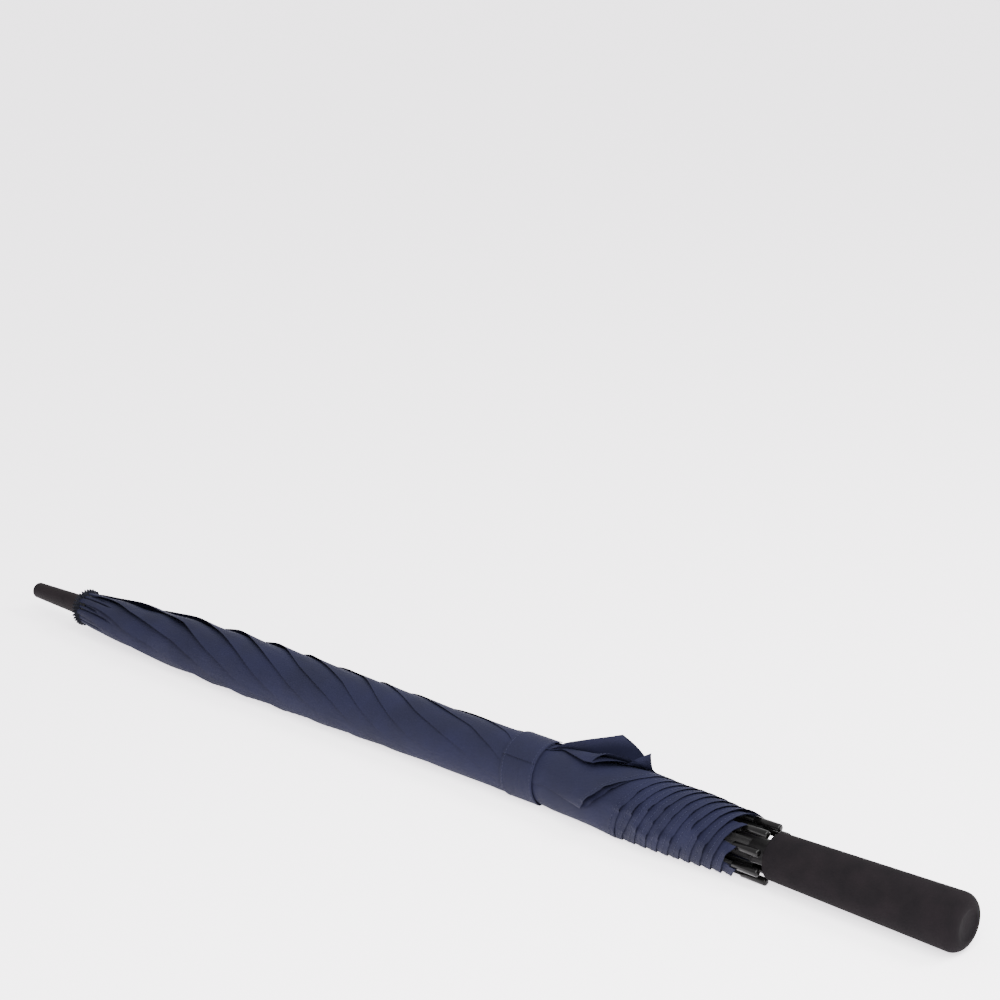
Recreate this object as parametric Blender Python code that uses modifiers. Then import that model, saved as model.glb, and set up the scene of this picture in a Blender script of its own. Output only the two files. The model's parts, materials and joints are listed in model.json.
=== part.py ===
"""A manual stick umbrella, rolled and strapped, lying on its side.

The shaft runs along X, from the ferrule's tip at -X to the grip's end at +X. The ground is z = 0.
Eight ribs hinge in the notch, a stretcher hinges on each rib, and the runner slides on the shaft.
"""

from math import cos, pi, radians, sin

import bmesh
import bpy
from mathutils import Matrix, Vector

# ---------------------------------------------------------------- driving dimensions, in metres
OVERALL_LENGTH = 1.000  # ferrule tip to grip end
SHAFT_RADIUS = 0.0070
SHAFT_WALL = 0.0018
SPOKES = 8  # ribs, stretchers and gores
RIB_RADIUS = 0.0018
FERRULE_LENGTH = 0.070
GRIP_LENGTH = 0.1565
STRETCHER_SHARE = 0.46215  # stretcher pivots apart, in rib lengths

GAP = 0.0003  # between pieces that touch on the real object
SLIDE_GAP = 0.0003  # runner on shaft
SHAFT_BORE = SHAFT_RADIUS + GAP  # in everything that is fixed on the shaft
JOINED = 0.0010  # how far two lumps of one piece run into each other

# ---------------------------------------------------------------- notch, the fixed hub
HINGE_BLADE = 0.0020  # thickness of the eyes that sit in the slots
SLOT_WIDTH = HINGE_BLADE + 0.0008
EYE_RADIUS = 0.0019
WIRE_RADIUS = 0.0006
EYE_HOLE_RADIUS = WIRE_RADIUS + GAP
BLADE_LENGTH = 0.0085  # eye centre to where the round rod starts
BLADE_HEIGHT = 0.0030
BLADE_SHARE = 0.9  # of its rod's thickness, at most
NOTCH_HALF_LENGTH = 0.0050
NOTCH_SLOT_FLOOR = SHAFT_BORE + 0.0013  # radius
NOTCH_SLOT_BACK = 0.0030  # how far the slots run past the pivots, towards the ferrule
PIVOT_RADIUS = NOTCH_SLOT_FLOOR + EYE_RADIUS + 0.0005  # of both circles of pivots
NOTCH_RADIUS = PIVOT_RADIUS + 0.0025
WIRE_GROOVE_FLOOR = PIVOT_RADIUS - 2 * WIRE_RADIUS  # radius
WIRE_GROOVE_HALF_WIDTH = 0.0011
NOTCH_PIN_RADIUS = 0.0009
NOTCH_PIN_OFFSET = 0.0040  # pin to pivot plane
NOTCH_PIN_INSET = 0.0006  # pin's end to the notch's rim

# ---------------------------------------------------------------- runner, the sliding hub
RUNNER_CROWN_RADIUS = PIVOT_RADIUS + 0.0025
RUNNER_CROWN_HALF_LENGTH = 0.0060
RUNNER_SLEEVE_RADIUS = SHAFT_RADIUS + SLIDE_GAP + 0.0014
RUNNER_SLEEVE_LENGTH = 0.0560
RUNNER_SLOT_FLOOR = RUNNER_SLEEVE_RADIUS + 0.0001  # radius
BUTTON_LENGTH = 0.0140
BUTTON_WIDTH = 0.0040
BUTTON_TOP = RUNNER_SLEEVE_RADIUS + 0.0019  # radius
BUTTON_FLOOR = SHAFT_RADIUS + 0.0016  # radius of its underside
BUTTON_OFFSET = 0.0300  # button centre to the runner's pivots
BUTTON_EDGE = 0.0006
SPRING_STRIP = 0.0003
SPRING_LENGTH = 0.0110
SPRING_WIDTH = 0.0016
SPRING_STEPS = 8
STOP_RING_RADIUS = SHAFT_RADIUS + 0.0016
STOP_RING_LENGTH = 0.0040
OPEN_ANGLE = radians(66.0)  # rib swing from rolled to open

# ---------------------------------------------------------------- grip and ferrule
GRIP_OVER_TIPS = 0.0016  # grip's widest radius beyond the circle of rib tips
GRIP_TAPER = 0.0035
GRIP_SLEEVE_RADIUS = SHAFT_RADIUS + 0.0026
GRIP_SLEEVE_EDGE = 0.0008
GRIP_END_WALL = 0.0140
SHAFT_END_GAP = 0.0040  # shaft to the foam's closed end
GRIP_END_ROUNDING = 0.0090
GRIP_NECK_ROUNDING = 0.0014
FERRULE_TIP_RADIUS = SHAFT_RADIUS + 0.0002
FERRULE_BASE_RADIUS = SHAFT_RADIUS + 0.0021
FERRULE_SOCKET_DEPTH = 0.0280
FERRULE_TIP_ROUNDING = 0.0020

# ---------------------------------------------------------------- gathered top of the cloth
ROSETTE_RADIUS = NOTCH_RADIUS + 0.0015
ROSETTE_LENGTH = 0.0070
ROSETTE_EDGE_DROP = 0.0030  # first ring's radius below the widest
ROSETTE_EDGE_LENGTH = 0.0020
ROSETTE_INSET = 0.0005

# ---------------------------------------------------------------- ribs and their fittings
TIP_RADIUS = RIB_RADIUS + 0.0011
TIP_LENGTH = 0.0220
TIP_SOCKET_DEPTH = 0.0115
TIP_ROUNDING = 0.0022
TIP_MOUTH_DROP = 0.0005  # mouth's radius below the tip's
TIP_MOUTH_LENGTH = 0.0030
TIP_TO_GRIP = 0.0012
JOINT_SLEEVE_RADIUS = RIB_RADIUS + 0.0011
JOINT_SLEEVE_LENGTH = 0.0130
JOINT_SLEEVE_START = 0.0032  # sleeve end to joint pivot
JOINT_LUG_THICKNESS = 0.0016
JOINT_LUG_RADIUS = 0.0017
JOINT_WEB_LENGTH = 0.0050  # how far the lug's web runs under the sleeve
JOINT_WEB_TOP = JOINT_LUG_RADIUS - 0.0001
JOINT_WEB_DEPTH = JOINT_LUG_RADIUS - 0.0009
JOINT_PIN_RADIUS = 0.0008
PIN_HOLE_CLEARANCE = 0.0002
STRETCHER_RADIUS = 0.0015
FORK_CHEEK = 0.0009
FORK_DEPTH = 0.0042  # pivot to the bottom of the fork
FORK_BACK = 0.0005  # solid behind the fork
FORK_NECK = 0.0040  # from there to the round rod
FORK_HALF_HEIGHT = 0.0017
FORK_UNDER_RIB = 0.000382
FORK_ROUND_STEPS = 7

# ---------------------------------------------------------------- places that follow
JOINT_DROP = RIB_RADIUS + FORK_UNDER_RIB + FORK_HALF_HEIGHT  # rib centre line to joint pivot
TIP_CIRCLE_RADIUS = PIVOT_RADIUS + JOINT_DROP / STRETCHER_SHARE  # of the rib tips when rolled
GRIP_END_RADIUS = TIP_CIRCLE_RADIUS + GRIP_OVER_TIPS
GRIP_NECK_RADIUS = GRIP_END_RADIUS - GRIP_TAPER
AXIS_HEIGHT = GRIP_END_RADIUS  # the grip's widest ring touches the ground
FERRULE_TIP_X = -OVERALL_LENGTH / 2
GRIP_END_X = OVERALL_LENGTH / 2
GRIP_START_X = GRIP_END_X - GRIP_LENGTH
FERRULE_BASE_X = FERRULE_TIP_X + FERRULE_LENGTH
NOTCH_X = FERRULE_BASE_X + ROSETTE_LENGTH / 2 + NOTCH_HALF_LENGTH + GAP  # plane of the pivots
TIP_END = GRIP_START_X - TIP_TO_GRIP - NOTCH_X  # from the pivots
RIB_LENGTH = TIP_END - TIP_LENGTH + TIP_SOCKET_DEPTH  # notch pivot to the end of the rod
STRETCHER_LENGTH = STRETCHER_SHARE * RIB_LENGTH  # also notch pivot to rib joint
RUNNER_X = NOTCH_X + 2 * STRETCHER_LENGTH  # plane of the runner's pivots, closed
RUNNER_END_X = RUNNER_X - RUNNER_CROWN_HALF_LENGTH + RUNNER_SLEEVE_LENGTH
OPEN_TRAVEL = 2 * STRETCHER_LENGTH * (1 - cos(OPEN_ANGLE))
SHAFT_START_X = FERRULE_BASE_X - FERRULE_SOCKET_DEPTH + GAP
SHAFT_END_X = GRIP_END_X - GRIP_END_WALL - SHAFT_END_GAP
JOINT_CENTRE = STRETCHER_LENGTH - JOINT_SLEEVE_START - JOINT_SLEEVE_LENGTH / 2
RIB_SLOPE = JOINT_DROP / STRETCHER_LENGTH
SPOKE_STEP = 2 * pi / SPOKES
FIRST_SPOKE = SPOKE_STEP / 2  # measured from +Y, rising towards +Z

# ---------------------------------------------------------------- rolled canopy, plain and soft
CLOTH_START = -0.0040  # from the pivot plane, along the shaft
CLOTH_END = RIB_LENGTH - TIP_SOCKET_DEPTH - GAP
CLOTH_GAP = 0.0004  # between neighbouring gores
CLOTH_FLOOR = 0.0
CLOTH_UNDERSIDE = 0.00095  # thickness where the bundle lies on the ground
HUB_ROOM = 0.0030  # how far the room round the notch, and round a rib joint, runs past it
JOINT_ROOM = JOINT_SLEEVE_LENGTH / 2 + 0.0150
ROLL_PROFILE = (  # distance from the pivots in rib lengths, radius beyond the notch's
    (0.0000, 0.0018),
    (0.0372, 0.0042),
    (0.0797, 0.0068),
    (0.1859, 0.0106),
    (0.2855, 0.0123),
    (0.3984, 0.0117),
    (0.5445, 0.0105),
    (0.6906, 0.0109),
    (0.7703, 0.0127),
    (0.8393, 0.0160),
    (0.9031, 0.0147),
    (0.9841, 0.0110),
)
FIN_HEIGHTS = (0.008, 0.013, 0.008, 0.004, 0.0, 0.0, 0.0, 0.004)  # loose corners, gore by gore
FIN_START = 0.7596 * RIB_LENGTH  # distances from the pivots
FIN_PEAK = 0.8393 * RIB_LENGTH
FIN_END = 0.8818 * RIB_LENGTH
GORE_FACETS = 4  # across each gore
ARC_STEP = SPOKE_STEP / GORE_FACETS

# ---------------------------------------------------------------- tie strap
STRAP_CENTRE = 0.7178 * RIB_LENGTH
STRAP_WIDTH = 0.032
STRAP_THICKNESS = 0.0008
STRAP_STEP = 0.0004  # half the length of the step down to the strap's bed
STRAP_ZONE = STRAP_WIDTH / 2 + GAP + 2 * STRAP_STEP
STRAP_FIRST_STEP = 7  # the strap runs from this many arc steps round the bundle
STRAP_STEPS = 31
TAB_START = radians(66.0)  # the tab's stitched root, over the strap's far end
TAB_SWEEP = radians(76.0)
TAB_STEPS = 8
PAD_START = radians(86.0)
PAD_SWEEP = radians(50.0)
PAD_STEPS = 6
PAD_THICKNESS = 0.0005
PAD_MARGIN = 0.004

HOLE_OVERRUN = 0.004  # how far a cutter runs past what it cuts

# ---------------------------------------------------------------- materials: colour, metallic, roughness
FINISHES = {
    "canopy_cloth": ((0.040, 0.044, 0.090), 0.0, 0.70),
    "hook_and_loop": ((0.020, 0.020, 0.028), 0.0, 0.90),
    "grip_foam": ((0.026, 0.023, 0.025), 0.0, 0.92),
    "black_plastic": ((0.018, 0.017, 0.018), 0.0, 0.45),
    "ferrule_plastic": ((0.032, 0.028, 0.031), 0.0, 0.55),
    "fibreglass": ((0.015, 0.015, 0.016), 0.0, 0.35),
    "steel_wire": ((0.55, 0.55, 0.56), 1.0, 0.35),
}


def material(name):
    """The named finish as a Principled material, made once."""
    found = bpy.data.materials.get(name)
    if found:
        return found
    colour, metallic, roughness = FINISHES[name]
    made = bpy.data.materials.new(name)
    made.use_nodes = True
    shader = made.node_tree.nodes["Principled BSDF"]
    shader.inputs["Base Color"].default_value = (*colour, 1.0)
    shader.inputs["Metallic"].default_value = metallic
    shader.inputs["Roughness"].default_value = roughness
    return made


# ---------------------------------------------------------------- scene and helpers
def clear_scene():
    for obj in list(bpy.data.objects):
        bpy.data.objects.remove(obj, do_unlink=True)


def new_collection(name):
    made = bpy.data.collections.new(name)
    bpy.context.scene.collection.children.link(made)
    return made


clear_scene()
PARTS = new_collection("stick_umbrella")
HELPERS = new_collection("umbrella_cutters")


def place(name, mesh, finish, parent=None):
    """A node of the umbrella. Its place is its parent's, or the shaft line's start."""
    mesh.materials.clear()
    mesh.materials.append(material(finish))
    obj = bpy.data.objects.new(name, mesh)
    PARTS.objects.link(obj)
    obj.parent = parent
    return obj


def empty_at(name, location, turn=0.0):
    """A named pivot, turned about the shaft line so that its Z points outwards."""
    made = bpy.data.objects.new(name, None)
    PARTS.objects.link(made)
    made.location = location
    made.rotation_euler = (turn, 0.0, 0.0)
    made.empty_display_size = 0.01
    return made


def mesh_from(bm, name="piece"):
    mesh = bpy.data.meshes.new(name)
    bm.to_mesh(mesh)
    bm.free()
    return mesh


def box(low, high):
    """A box between two corners, as a mesh."""
    bm = bmesh.new()
    low, high = Vector(low), Vector(high)
    bmesh.ops.create_cube(bm, size=1.0)
    size = Matrix.Diagonal((*(high - low), 1.0))
    bmesh.ops.transform(bm, matrix=Matrix.Translation((low + high) / 2) @ size, verts=bm.verts)
    return mesh_from(bm)


def rod(start, end, radius, segments=10, end_radius=None):
    """A cylinder or cone between two points, as a mesh."""
    bm = bmesh.new()
    start, end = Vector(start), Vector(end)
    along = end - start
    last = radius if end_radius is None else end_radius
    bmesh.ops.create_cone(
        bm, cap_ends=True, segments=segments, radius1=radius, radius2=last, depth=along.length
    )
    turn = along.to_track_quat("Z", "Y").to_matrix().to_4x4()
    bmesh.ops.transform(bm, matrix=Matrix.Translation((start + end) / 2) @ turn, verts=bm.verts)
    return mesh_from(bm)


def helper(mesh):
    """A hidden object that cuts or joins a piece."""
    obj = bpy.data.objects.new("helper", mesh)
    HELPERS.objects.link(obj)
    obj.hide_render = True
    obj.display_type = "WIRE"
    return obj


def combined(base, joins=(), cuts=()):
    """The mesh of base with the joins added and the cuts taken away, one closed body."""
    obj = helper(base)
    for operation, meshes in (("UNION", joins), ("DIFFERENCE", cuts)):
        for mesh in meshes:
            modifier = obj.modifiers.new(operation.lower(), "BOOLEAN")
            modifier.operation = operation
            modifier.object = helper(mesh)
    bpy.context.view_layer.update()
    made = bpy.data.meshes.new_from_object(obj.evaluated_get(bpy.context.evaluated_depsgraph_get()))
    for used in [m.object for m in obj.modifiers] + [obj]:
        bpy.data.objects.remove(used, do_unlink=True)
    return made


def turned(outer, inner=(), segments=24):
    """A turned mesh about X.

    outer holds (x, radius) towards the grip, and inner the same for a bore that goes right through.
    Without a bore, outer starts and ends on the axis.
    """
    loop = list(reversed(outer)) + list(inner)
    bm = bmesh.new()
    points = [bm.verts.new((radius, 0.0, x)) for x, radius in loop]
    for a, b in zip(points, points[1:]):
        bm.edges.new((a, b))
    if inner:
        bm.edges.new((points[-1], points[0]))
    profile = helper(mesh_from(bm))
    screw = profile.modifiers.new("turn", "SCREW")
    screw.angle = 2 * pi
    screw.steps = screw.render_steps = segments
    screw.use_merge_vertices = True
    screw.merge_threshold = 0.00001
    bpy.context.view_layer.update()
    graph = bpy.context.evaluated_depsgraph_get()
    mesh = bpy.data.meshes.new_from_object(profile.evaluated_get(graph))
    bpy.data.objects.remove(profile, do_unlink=True)
    mesh.transform(Matrix.Rotation(pi / 2, 4, "Y"))
    return mesh


def loft(sections):
    """A closed body through sections that each hold the same number of points."""
    bm = bmesh.new()
    rings = [[bm.verts.new(point) for point in section] for section in sections]
    count = len(rings[0])
    for ring, following in zip(rings, rings[1:]):
        for k in range(count):
            n = (k + 1) % count
            bm.faces.new((ring[k], ring[n], following[n], following[k]))
    half = count // 2
    for ring in (rings[0], rings[-1]):
        for k in range(half - 1):
            bm.faces.new((ring[k], ring[k + 1], ring[count - 2 - k], ring[count - 1 - k]))
    bmesh.ops.recalc_face_normals(bm, faces=bm.faces)
    return mesh_from(bm)


def arc(centre_x, centre_r, radius, start, end, steps=4):
    """Points of a rounded corner in a turned outline, angles in degrees from +x."""
    angles = [radians(start + (end - start) * k / steps) for k in range(steps + 1)]
    return [(centre_x + radius * cos(t), centre_r + radius * sin(t)) for t in angles]


def between(table, at):
    """A value read from (place, value) pairs, in a straight line between them."""
    if at <= table[0][0]:
        return table[0][1]
    for (x0, v0), (x1, v1) in zip(table, table[1:]):
        if at <= x1:
            return v0 + (v1 - v0) * (at - x0) / (x1 - x0)
    return table[-1][1]


def spoke_angle(index):
    return FIRST_SPOKE + index * SPOKE_STEP


def slotted(mesh, floor, outer, start_x, end_x):
    """The mesh, cut by a radial slot at every spoke."""
    slots = []
    half_width = SLOT_WIDTH / 2
    for index in range(SPOKES):
        slot = box((start_x, -half_width, floor), (end_x, half_width, outer))
        slot.transform(Matrix.Rotation(spoke_angle(index) - pi / 2, 4, "X"))
        slots.append(slot)
    return combined(mesh, cuts=slots)


SHAFT_LINE = empty_at("shaft_line", (0.0, 0.0, AXIS_HEIGHT))
RUNNER_FRAME = empty_at("runner_frame", (RUNNER_X, 0.0, AXIS_HEIGHT))


# ---------------------------------------------------------------- shaft, ferrule, grip
def shaft():
    """A pultruded tube, cross-drilled for the pin that holds the notch."""
    inside = SHAFT_RADIUS - SHAFT_WALL
    outer = [(SHAFT_START_X, SHAFT_RADIUS), (SHAFT_END_X, SHAFT_RADIUS)]
    tube = turned(outer, [(SHAFT_START_X, inside), (SHAFT_END_X, inside)])
    return place("shaft", combined(tube, cuts=[pin_hole()]), "fibreglass", SHAFT_LINE)


def pin_hole():
    reach = NOTCH_RADIUS + HOLE_OVERRUN
    x = NOTCH_X - NOTCH_PIN_OFFSET
    return rod((x, -reach, 0), (x, reach, 0), NOTCH_PIN_RADIUS + GAP, segments=10)


def ferrule():
    """The long plastic tip, a blind socket over the top of the shaft."""
    mouth = FERRULE_BASE_X
    bore = SHAFT_BORE
    socket_end = mouth - FERRULE_SOCKET_DEPTH
    corner = FERRULE_TIP_RADIUS - FERRULE_TIP_ROUNDING
    nose = arc(FERRULE_TIP_X + FERRULE_TIP_ROUNDING, corner, FERRULE_TIP_ROUNDING, 180, 90)
    outer = [(FERRULE_TIP_X, 0.0), *nose, (mouth, FERRULE_BASE_RADIUS)]
    inner = [(mouth, bore), (socket_end, bore), (socket_end, 0.0)]
    return place("ferrule", turned(outer + inner), "ferrule_plastic", SHAFT_LINE)


def grip_sleeve():
    """The moulded core that the foam is pressed over. Its top is the stop for the runner."""
    start, end = RUNNER_END_X + GAP, GRIP_END_X - GRIP_END_WALL - GAP
    bore = SHAFT_BORE
    edge = [(start, GRIP_SLEEVE_RADIUS - GRIP_SLEEVE_EDGE), (start + GRIP_SLEEVE_EDGE, GRIP_SLEEVE_RADIUS)]
    outer = [*edge, (end, GRIP_SLEEVE_RADIUS)]
    mesh = turned(outer, [(start, bore), (end, bore)])
    return place("grip_sleeve", mesh, "black_plastic", SHAFT_LINE)


def grip_foam():
    """The foam handle, wider towards its closed, rounded end."""
    bore = GRIP_SLEEVE_RADIUS + GAP
    socket_end = GRIP_END_X - GRIP_END_WALL
    neck = GRIP_NECK_RADIUS - GRIP_NECK_ROUNDING
    end_centre = GRIP_END_X - GRIP_END_ROUNDING
    end_flat = GRIP_END_RADIUS - GRIP_END_ROUNDING
    start = arc(GRIP_START_X + GRIP_NECK_ROUNDING, neck, GRIP_NECK_ROUNDING, 180, 90, 3)
    finish = arc(end_centre, end_flat, GRIP_END_ROUNDING, 90, 0, 6)
    outline = [(socket_end, 0.0), (socket_end, bore), (GRIP_START_X, bore), *start, *finish]
    mesh = turned([*outline, (GRIP_END_X, 0.0)], segments=32)
    return place("grip_foam", mesh, "grip_foam", SHAFT_LINE)


# ---------------------------------------------------------------- notch
def notch():
    """The fixed hub: a slotted ring with a groove for the wire that all ribs hang on."""
    low, high = NOTCH_X - NOTCH_HALF_LENGTH, NOTCH_X + NOTCH_HALF_LENGTH
    bore = SHAFT_BORE
    groove = [
        (NOTCH_X - WIRE_GROOVE_HALF_WIDTH, NOTCH_RADIUS),
        (NOTCH_X - WIRE_GROOVE_HALF_WIDTH, WIRE_GROOVE_FLOOR),
        (NOTCH_X + WIRE_GROOVE_HALF_WIDTH, WIRE_GROOVE_FLOOR),
        (NOTCH_X + WIRE_GROOVE_HALF_WIDTH, NOTCH_RADIUS),
    ]
    outer = [(low, NOTCH_RADIUS), *groove, (high, NOTCH_RADIUS)]
    ring = turned(outer, [(low, bore), (high, bore)], segments=32)
    drilled = combined(ring, cuts=[pin_hole()])
    slot_start, slot_end = NOTCH_X - NOTCH_SLOT_BACK, high + HOLE_OVERRUN
    mesh = slotted(drilled, NOTCH_SLOT_FLOOR, NOTCH_RADIUS + HOLE_OVERRUN, slot_start, slot_end)
    return place("notch", mesh, "black_plastic", SHAFT_LINE)


def notch_wire():
    """The ring of wire through the eyes of the ribs."""
    bpy.ops.mesh.primitive_torus_add(
        major_radius=PIVOT_RADIUS, minor_radius=WIRE_RADIUS, major_segments=48, minor_segments=6
    )
    ring = bpy.context.object
    mesh = ring.data
    bpy.data.objects.remove(ring, do_unlink=True)
    mesh.transform(Matrix.Translation((NOTCH_X, 0, 0)) @ Matrix.Rotation(pi / 2, 4, "Y"))
    return place("notch_wire", mesh, "steel_wire", SHAFT_LINE)


def notch_pin():
    """The pin that fixes the notch to the shaft."""
    x = NOTCH_X - NOTCH_PIN_OFFSET
    reach = NOTCH_RADIUS - NOTCH_PIN_INSET
    mesh = rod((x, -reach, 0), (x, reach, 0), NOTCH_PIN_RADIUS, segments=10)
    return place("notch_pin", mesh, "steel_wire", SHAFT_LINE)


# ---------------------------------------------------------------- runner
def runner():
    """The sliding hub. Its slots are open at both ends, so a stretcher's eye can slip along."""
    bore = SHAFT_RADIUS + SLIDE_GAP
    low, high = -RUNNER_CROWN_HALF_LENGTH, RUNNER_CROWN_HALF_LENGTH
    end = low + RUNNER_SLEEVE_LENGTH
    outer = [
        (low, RUNNER_CROWN_RADIUS),
        (high, RUNNER_CROWN_RADIUS),
        (high, RUNNER_SLEEVE_RADIUS),
        (end, RUNNER_SLEEVE_RADIUS),
    ]
    body = turned(outer, [(low, bore), (end, bore)], segments=32)
    slot_start, slot_end = low - HOLE_OVERRUN, high + HOLE_OVERRUN
    crown = slotted(body, RUNNER_SLOT_FLOOR, RUNNER_CROWN_RADIUS + HOLE_OVERRUN, slot_start, slot_end)
    half_length, half_width = BUTTON_LENGTH / 2 + GAP, BUTTON_WIDTH / 2 + GAP
    pocket = box(
        (BUTTON_OFFSET - half_length, -half_width, 0.0),
        (BUTTON_OFFSET + half_length, half_width, RUNNER_SLEEVE_RADIUS + HOLE_OVERRUN),
    )
    mesh = combined(crown, cuts=[pocket])
    return place("runner", mesh, "black_plastic", RUNNER_FRAME)


def runner_button():
    """The push button that frees the runner, in its pocket on the sleeve."""
    half_length, half_width = BUTTON_LENGTH / 2, BUTTON_WIDTH / 2
    body = box(
        (BUTTON_OFFSET - half_length, -half_width, BUTTON_FLOOR),
        (BUTTON_OFFSET + half_length, half_width, BUTTON_TOP),
    )
    obj = place("runner_button", body, "black_plastic", RUNNER_FRAME)
    bevel = obj.modifiers.new("soft edges", "BEVEL")
    bevel.width = BUTTON_EDGE
    bevel.segments = 2
    return obj


def button_spring():
    """The bowed strip of steel under the button."""
    rise = BUTTON_FLOOR - GAP - SHAFT_BORE - SPRING_STRIP
    sections = []
    for k in range(SPRING_STEPS + 1):
        t = k / SPRING_STEPS
        x = BUTTON_OFFSET + (t - 0.5) * SPRING_LENGTH
        foot = SHAFT_BORE + rise * sin(pi * t)
        half = SPRING_WIDTH / 2
        top = foot + SPRING_STRIP
        sections.append([(x, -half, foot), (x, half, foot), (x, half, top), (x, -half, top)])
    return place("button_spring", loft(sections), "steel_wire", RUNNER_FRAME)


def open_stop():
    """The ring on the shaft that the runner meets when the umbrella is open."""
    end = RUNNER_X - OPEN_TRAVEL - RUNNER_CROWN_HALF_LENGTH - GAP
    start = end - STOP_RING_LENGTH
    bore = SHAFT_BORE
    outer = [(start, STOP_RING_RADIUS), (end, STOP_RING_RADIUS)]
    mesh = turned(outer, [(start, bore), (end, bore)])
    return place("open_stop", mesh, "black_plastic", SHAFT_LINE)


# ---------------------------------------------------------------- one spoke, in its pivot's frame
def rib_height(x):
    """Distance of the rib's centre line outwards from its pivot."""
    return RIB_SLOPE * x


def eye(segments=12, radius=EYE_RADIUS):
    return rod((0, -HINGE_BLADE / 2, 0), (0, HINGE_BLADE / 2, 0), radius, segments)


def blade(direction, rod_radius):
    """The flat neck between an eye and its round rod."""
    reach = direction * BLADE_LENGTH
    height = min(BLADE_HEIGHT, 2 * rod_radius * BLADE_SHARE) / 2
    low, high = min(0.0, reach), max(0.0, reach)
    return box((low, -HINGE_BLADE / 2, -height), (high, HINGE_BLADE / 2, height))


def wire_hole():
    reach = HINGE_BLADE
    return rod((0, -reach, 0), (0, reach, 0), EYE_HOLE_RADIUS, 10)


def rib_mesh():
    start = BLADE_LENGTH - JOINED
    body = rod((start, 0, rib_height(start)), (RIB_LENGTH, 0, rib_height(RIB_LENGTH)), RIB_RADIUS)
    return combined(body, joins=[blade(1, RIB_RADIUS), eye()], cuts=[wire_hole()])


def tip_mesh():
    """The cover on the rib's end that holds the corner of two gores."""
    bore = RIB_RADIUS + GAP
    start = RIB_LENGTH - TIP_SOCKET_DEPTH
    socket_end = RIB_LENGTH + GAP
    end = start + TIP_LENGTH
    dome = arc(end - TIP_ROUNDING, TIP_RADIUS - TIP_ROUNDING, TIP_ROUNDING, 90, 0, 3)
    mouth = [(start, bore), (start, TIP_RADIUS - TIP_MOUTH_DROP), (start + TIP_MOUTH_LENGTH, TIP_RADIUS)]
    outline = [(socket_end, 0.0), (socket_end, bore), *mouth, *dome, (end, 0.0)]
    mesh = turned(outline, segments=12)
    slope = Vector((1.0, 0.0, RIB_SLOPE)).to_track_quat("X", "Z").to_matrix().to_4x4()
    mesh.transform(slope)
    return mesh


def rib_joint_mesh():
    """The clamp on the rib with a lug and two moulded pins for the stretcher's fork."""
    end = STRETCHER_LENGTH - JOINT_SLEEVE_START
    start = end - JOINT_SLEEVE_LENGTH
    ends = [(start, 0, rib_height(start)), (end, 0, rib_height(end))]
    sleeve = rod(*ends, JOINT_SLEEVE_RADIUS, 12)
    pivot = Vector((STRETCHER_LENGTH, 0.0, 0.0))
    half = JOINT_LUG_THICKNESS / 2
    lug_eye = rod(pivot - Vector((0, half, 0)), pivot + Vector((0, half, 0)), JOINT_LUG_RADIUS, 12)
    web = box((end - JOINT_WEB_LENGTH, -half, -JOINT_WEB_DEPTH), (pivot.x, half, JOINT_WEB_TOP))
    reach = half + FORK_CHEEK + GAP
    pins = rod(pivot - Vector((0, reach, 0)), pivot + Vector((0, reach, 0)), JOINT_PIN_RADIUS, 10)
    beyond = HOLE_OVERRUN
    bore = rod(
        (start - beyond, 0, rib_height(start - beyond)),
        (end + beyond, 0, rib_height(end + beyond)),
        RIB_RADIUS + GAP,
    )
    return combined(sleeve, joins=[web, lug_eye, pins], cuts=[bore])


def fork_block(length, half_width):
    """A block across the fork's pivot, round at the pivot's end."""
    turns = [pi / 2 + pi * k / FORK_ROUND_STEPS for k in range(FORK_ROUND_STEPS + 1)]
    outline = [(FORK_HALF_HEIGHT * cos(t), FORK_HALF_HEIGHT * sin(t)) for t in turns]
    outline += [(length, -FORK_HALF_HEIGHT), (length, FORK_HALF_HEIGHT)]
    return loft([[(x, y, z) for x, z in outline] for y in (-half_width, half_width)])


def stretcher_mesh():
    """From the fork on the rib joint, at the origin, to the eye in the runner."""
    inner = JOINT_LUG_THICKNESS / 2 + GAP
    length, start, beyond = STRETCHER_LENGTH, FORK_DEPTH + FORK_BACK, HOLE_OVERRUN
    block = fork_block(start + FORK_NECK, inner + FORK_CHEEK)
    body = rod((start, 0, 0), (length - BLADE_LENGTH + JOINED, 0, 0), STRETCHER_RADIUS, 8)
    slot = box((-beyond, -inner, -beyond), (FORK_DEPTH, inner, beyond))
    pin = rod((0, -beyond, 0), (0, beyond, 0), JOINT_PIN_RADIUS + PIN_HOLE_CLEARANCE, 10)
    end_blade = blade(-1, STRETCHER_RADIUS)
    end_eye = eye()
    for piece in (end_blade, end_eye):
        piece.transform(Matrix.Translation((length, 0, 0)))
    return combined(block, joins=[body, end_blade, end_eye], cuts=[slot, pin])


def spokes():
    """Eight ribs with their tips, joints and stretchers, each on its own pivot."""
    rib, tip, joint, stretcher = rib_mesh(), tip_mesh(), rib_joint_mesh(), stretcher_mesh()
    for index in range(SPOKES):
        number, angle = index + 1, spoke_angle(index)
        y, z = PIVOT_RADIUS * cos(angle), AXIS_HEIGHT + PIVOT_RADIUS * sin(angle)
        pivot = empty_at(f"rib_pivot_{number}", (NOTCH_X, y, z), angle - pi / 2)
        place(f"rib_{number}", rib, "fibreglass", pivot)
        place(f"rib_tip_{number}", tip, "black_plastic", pivot)
        place(f"rib_joint_{number}", joint, "black_plastic", pivot)
        hinge = empty_at(f"stretcher_pivot_{number}", (STRETCHER_LENGTH, 0.0, 0.0))
        hinge.parent = pivot
        place(f"stretcher_{number}", stretcher, "fibreglass", hinge)


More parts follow.
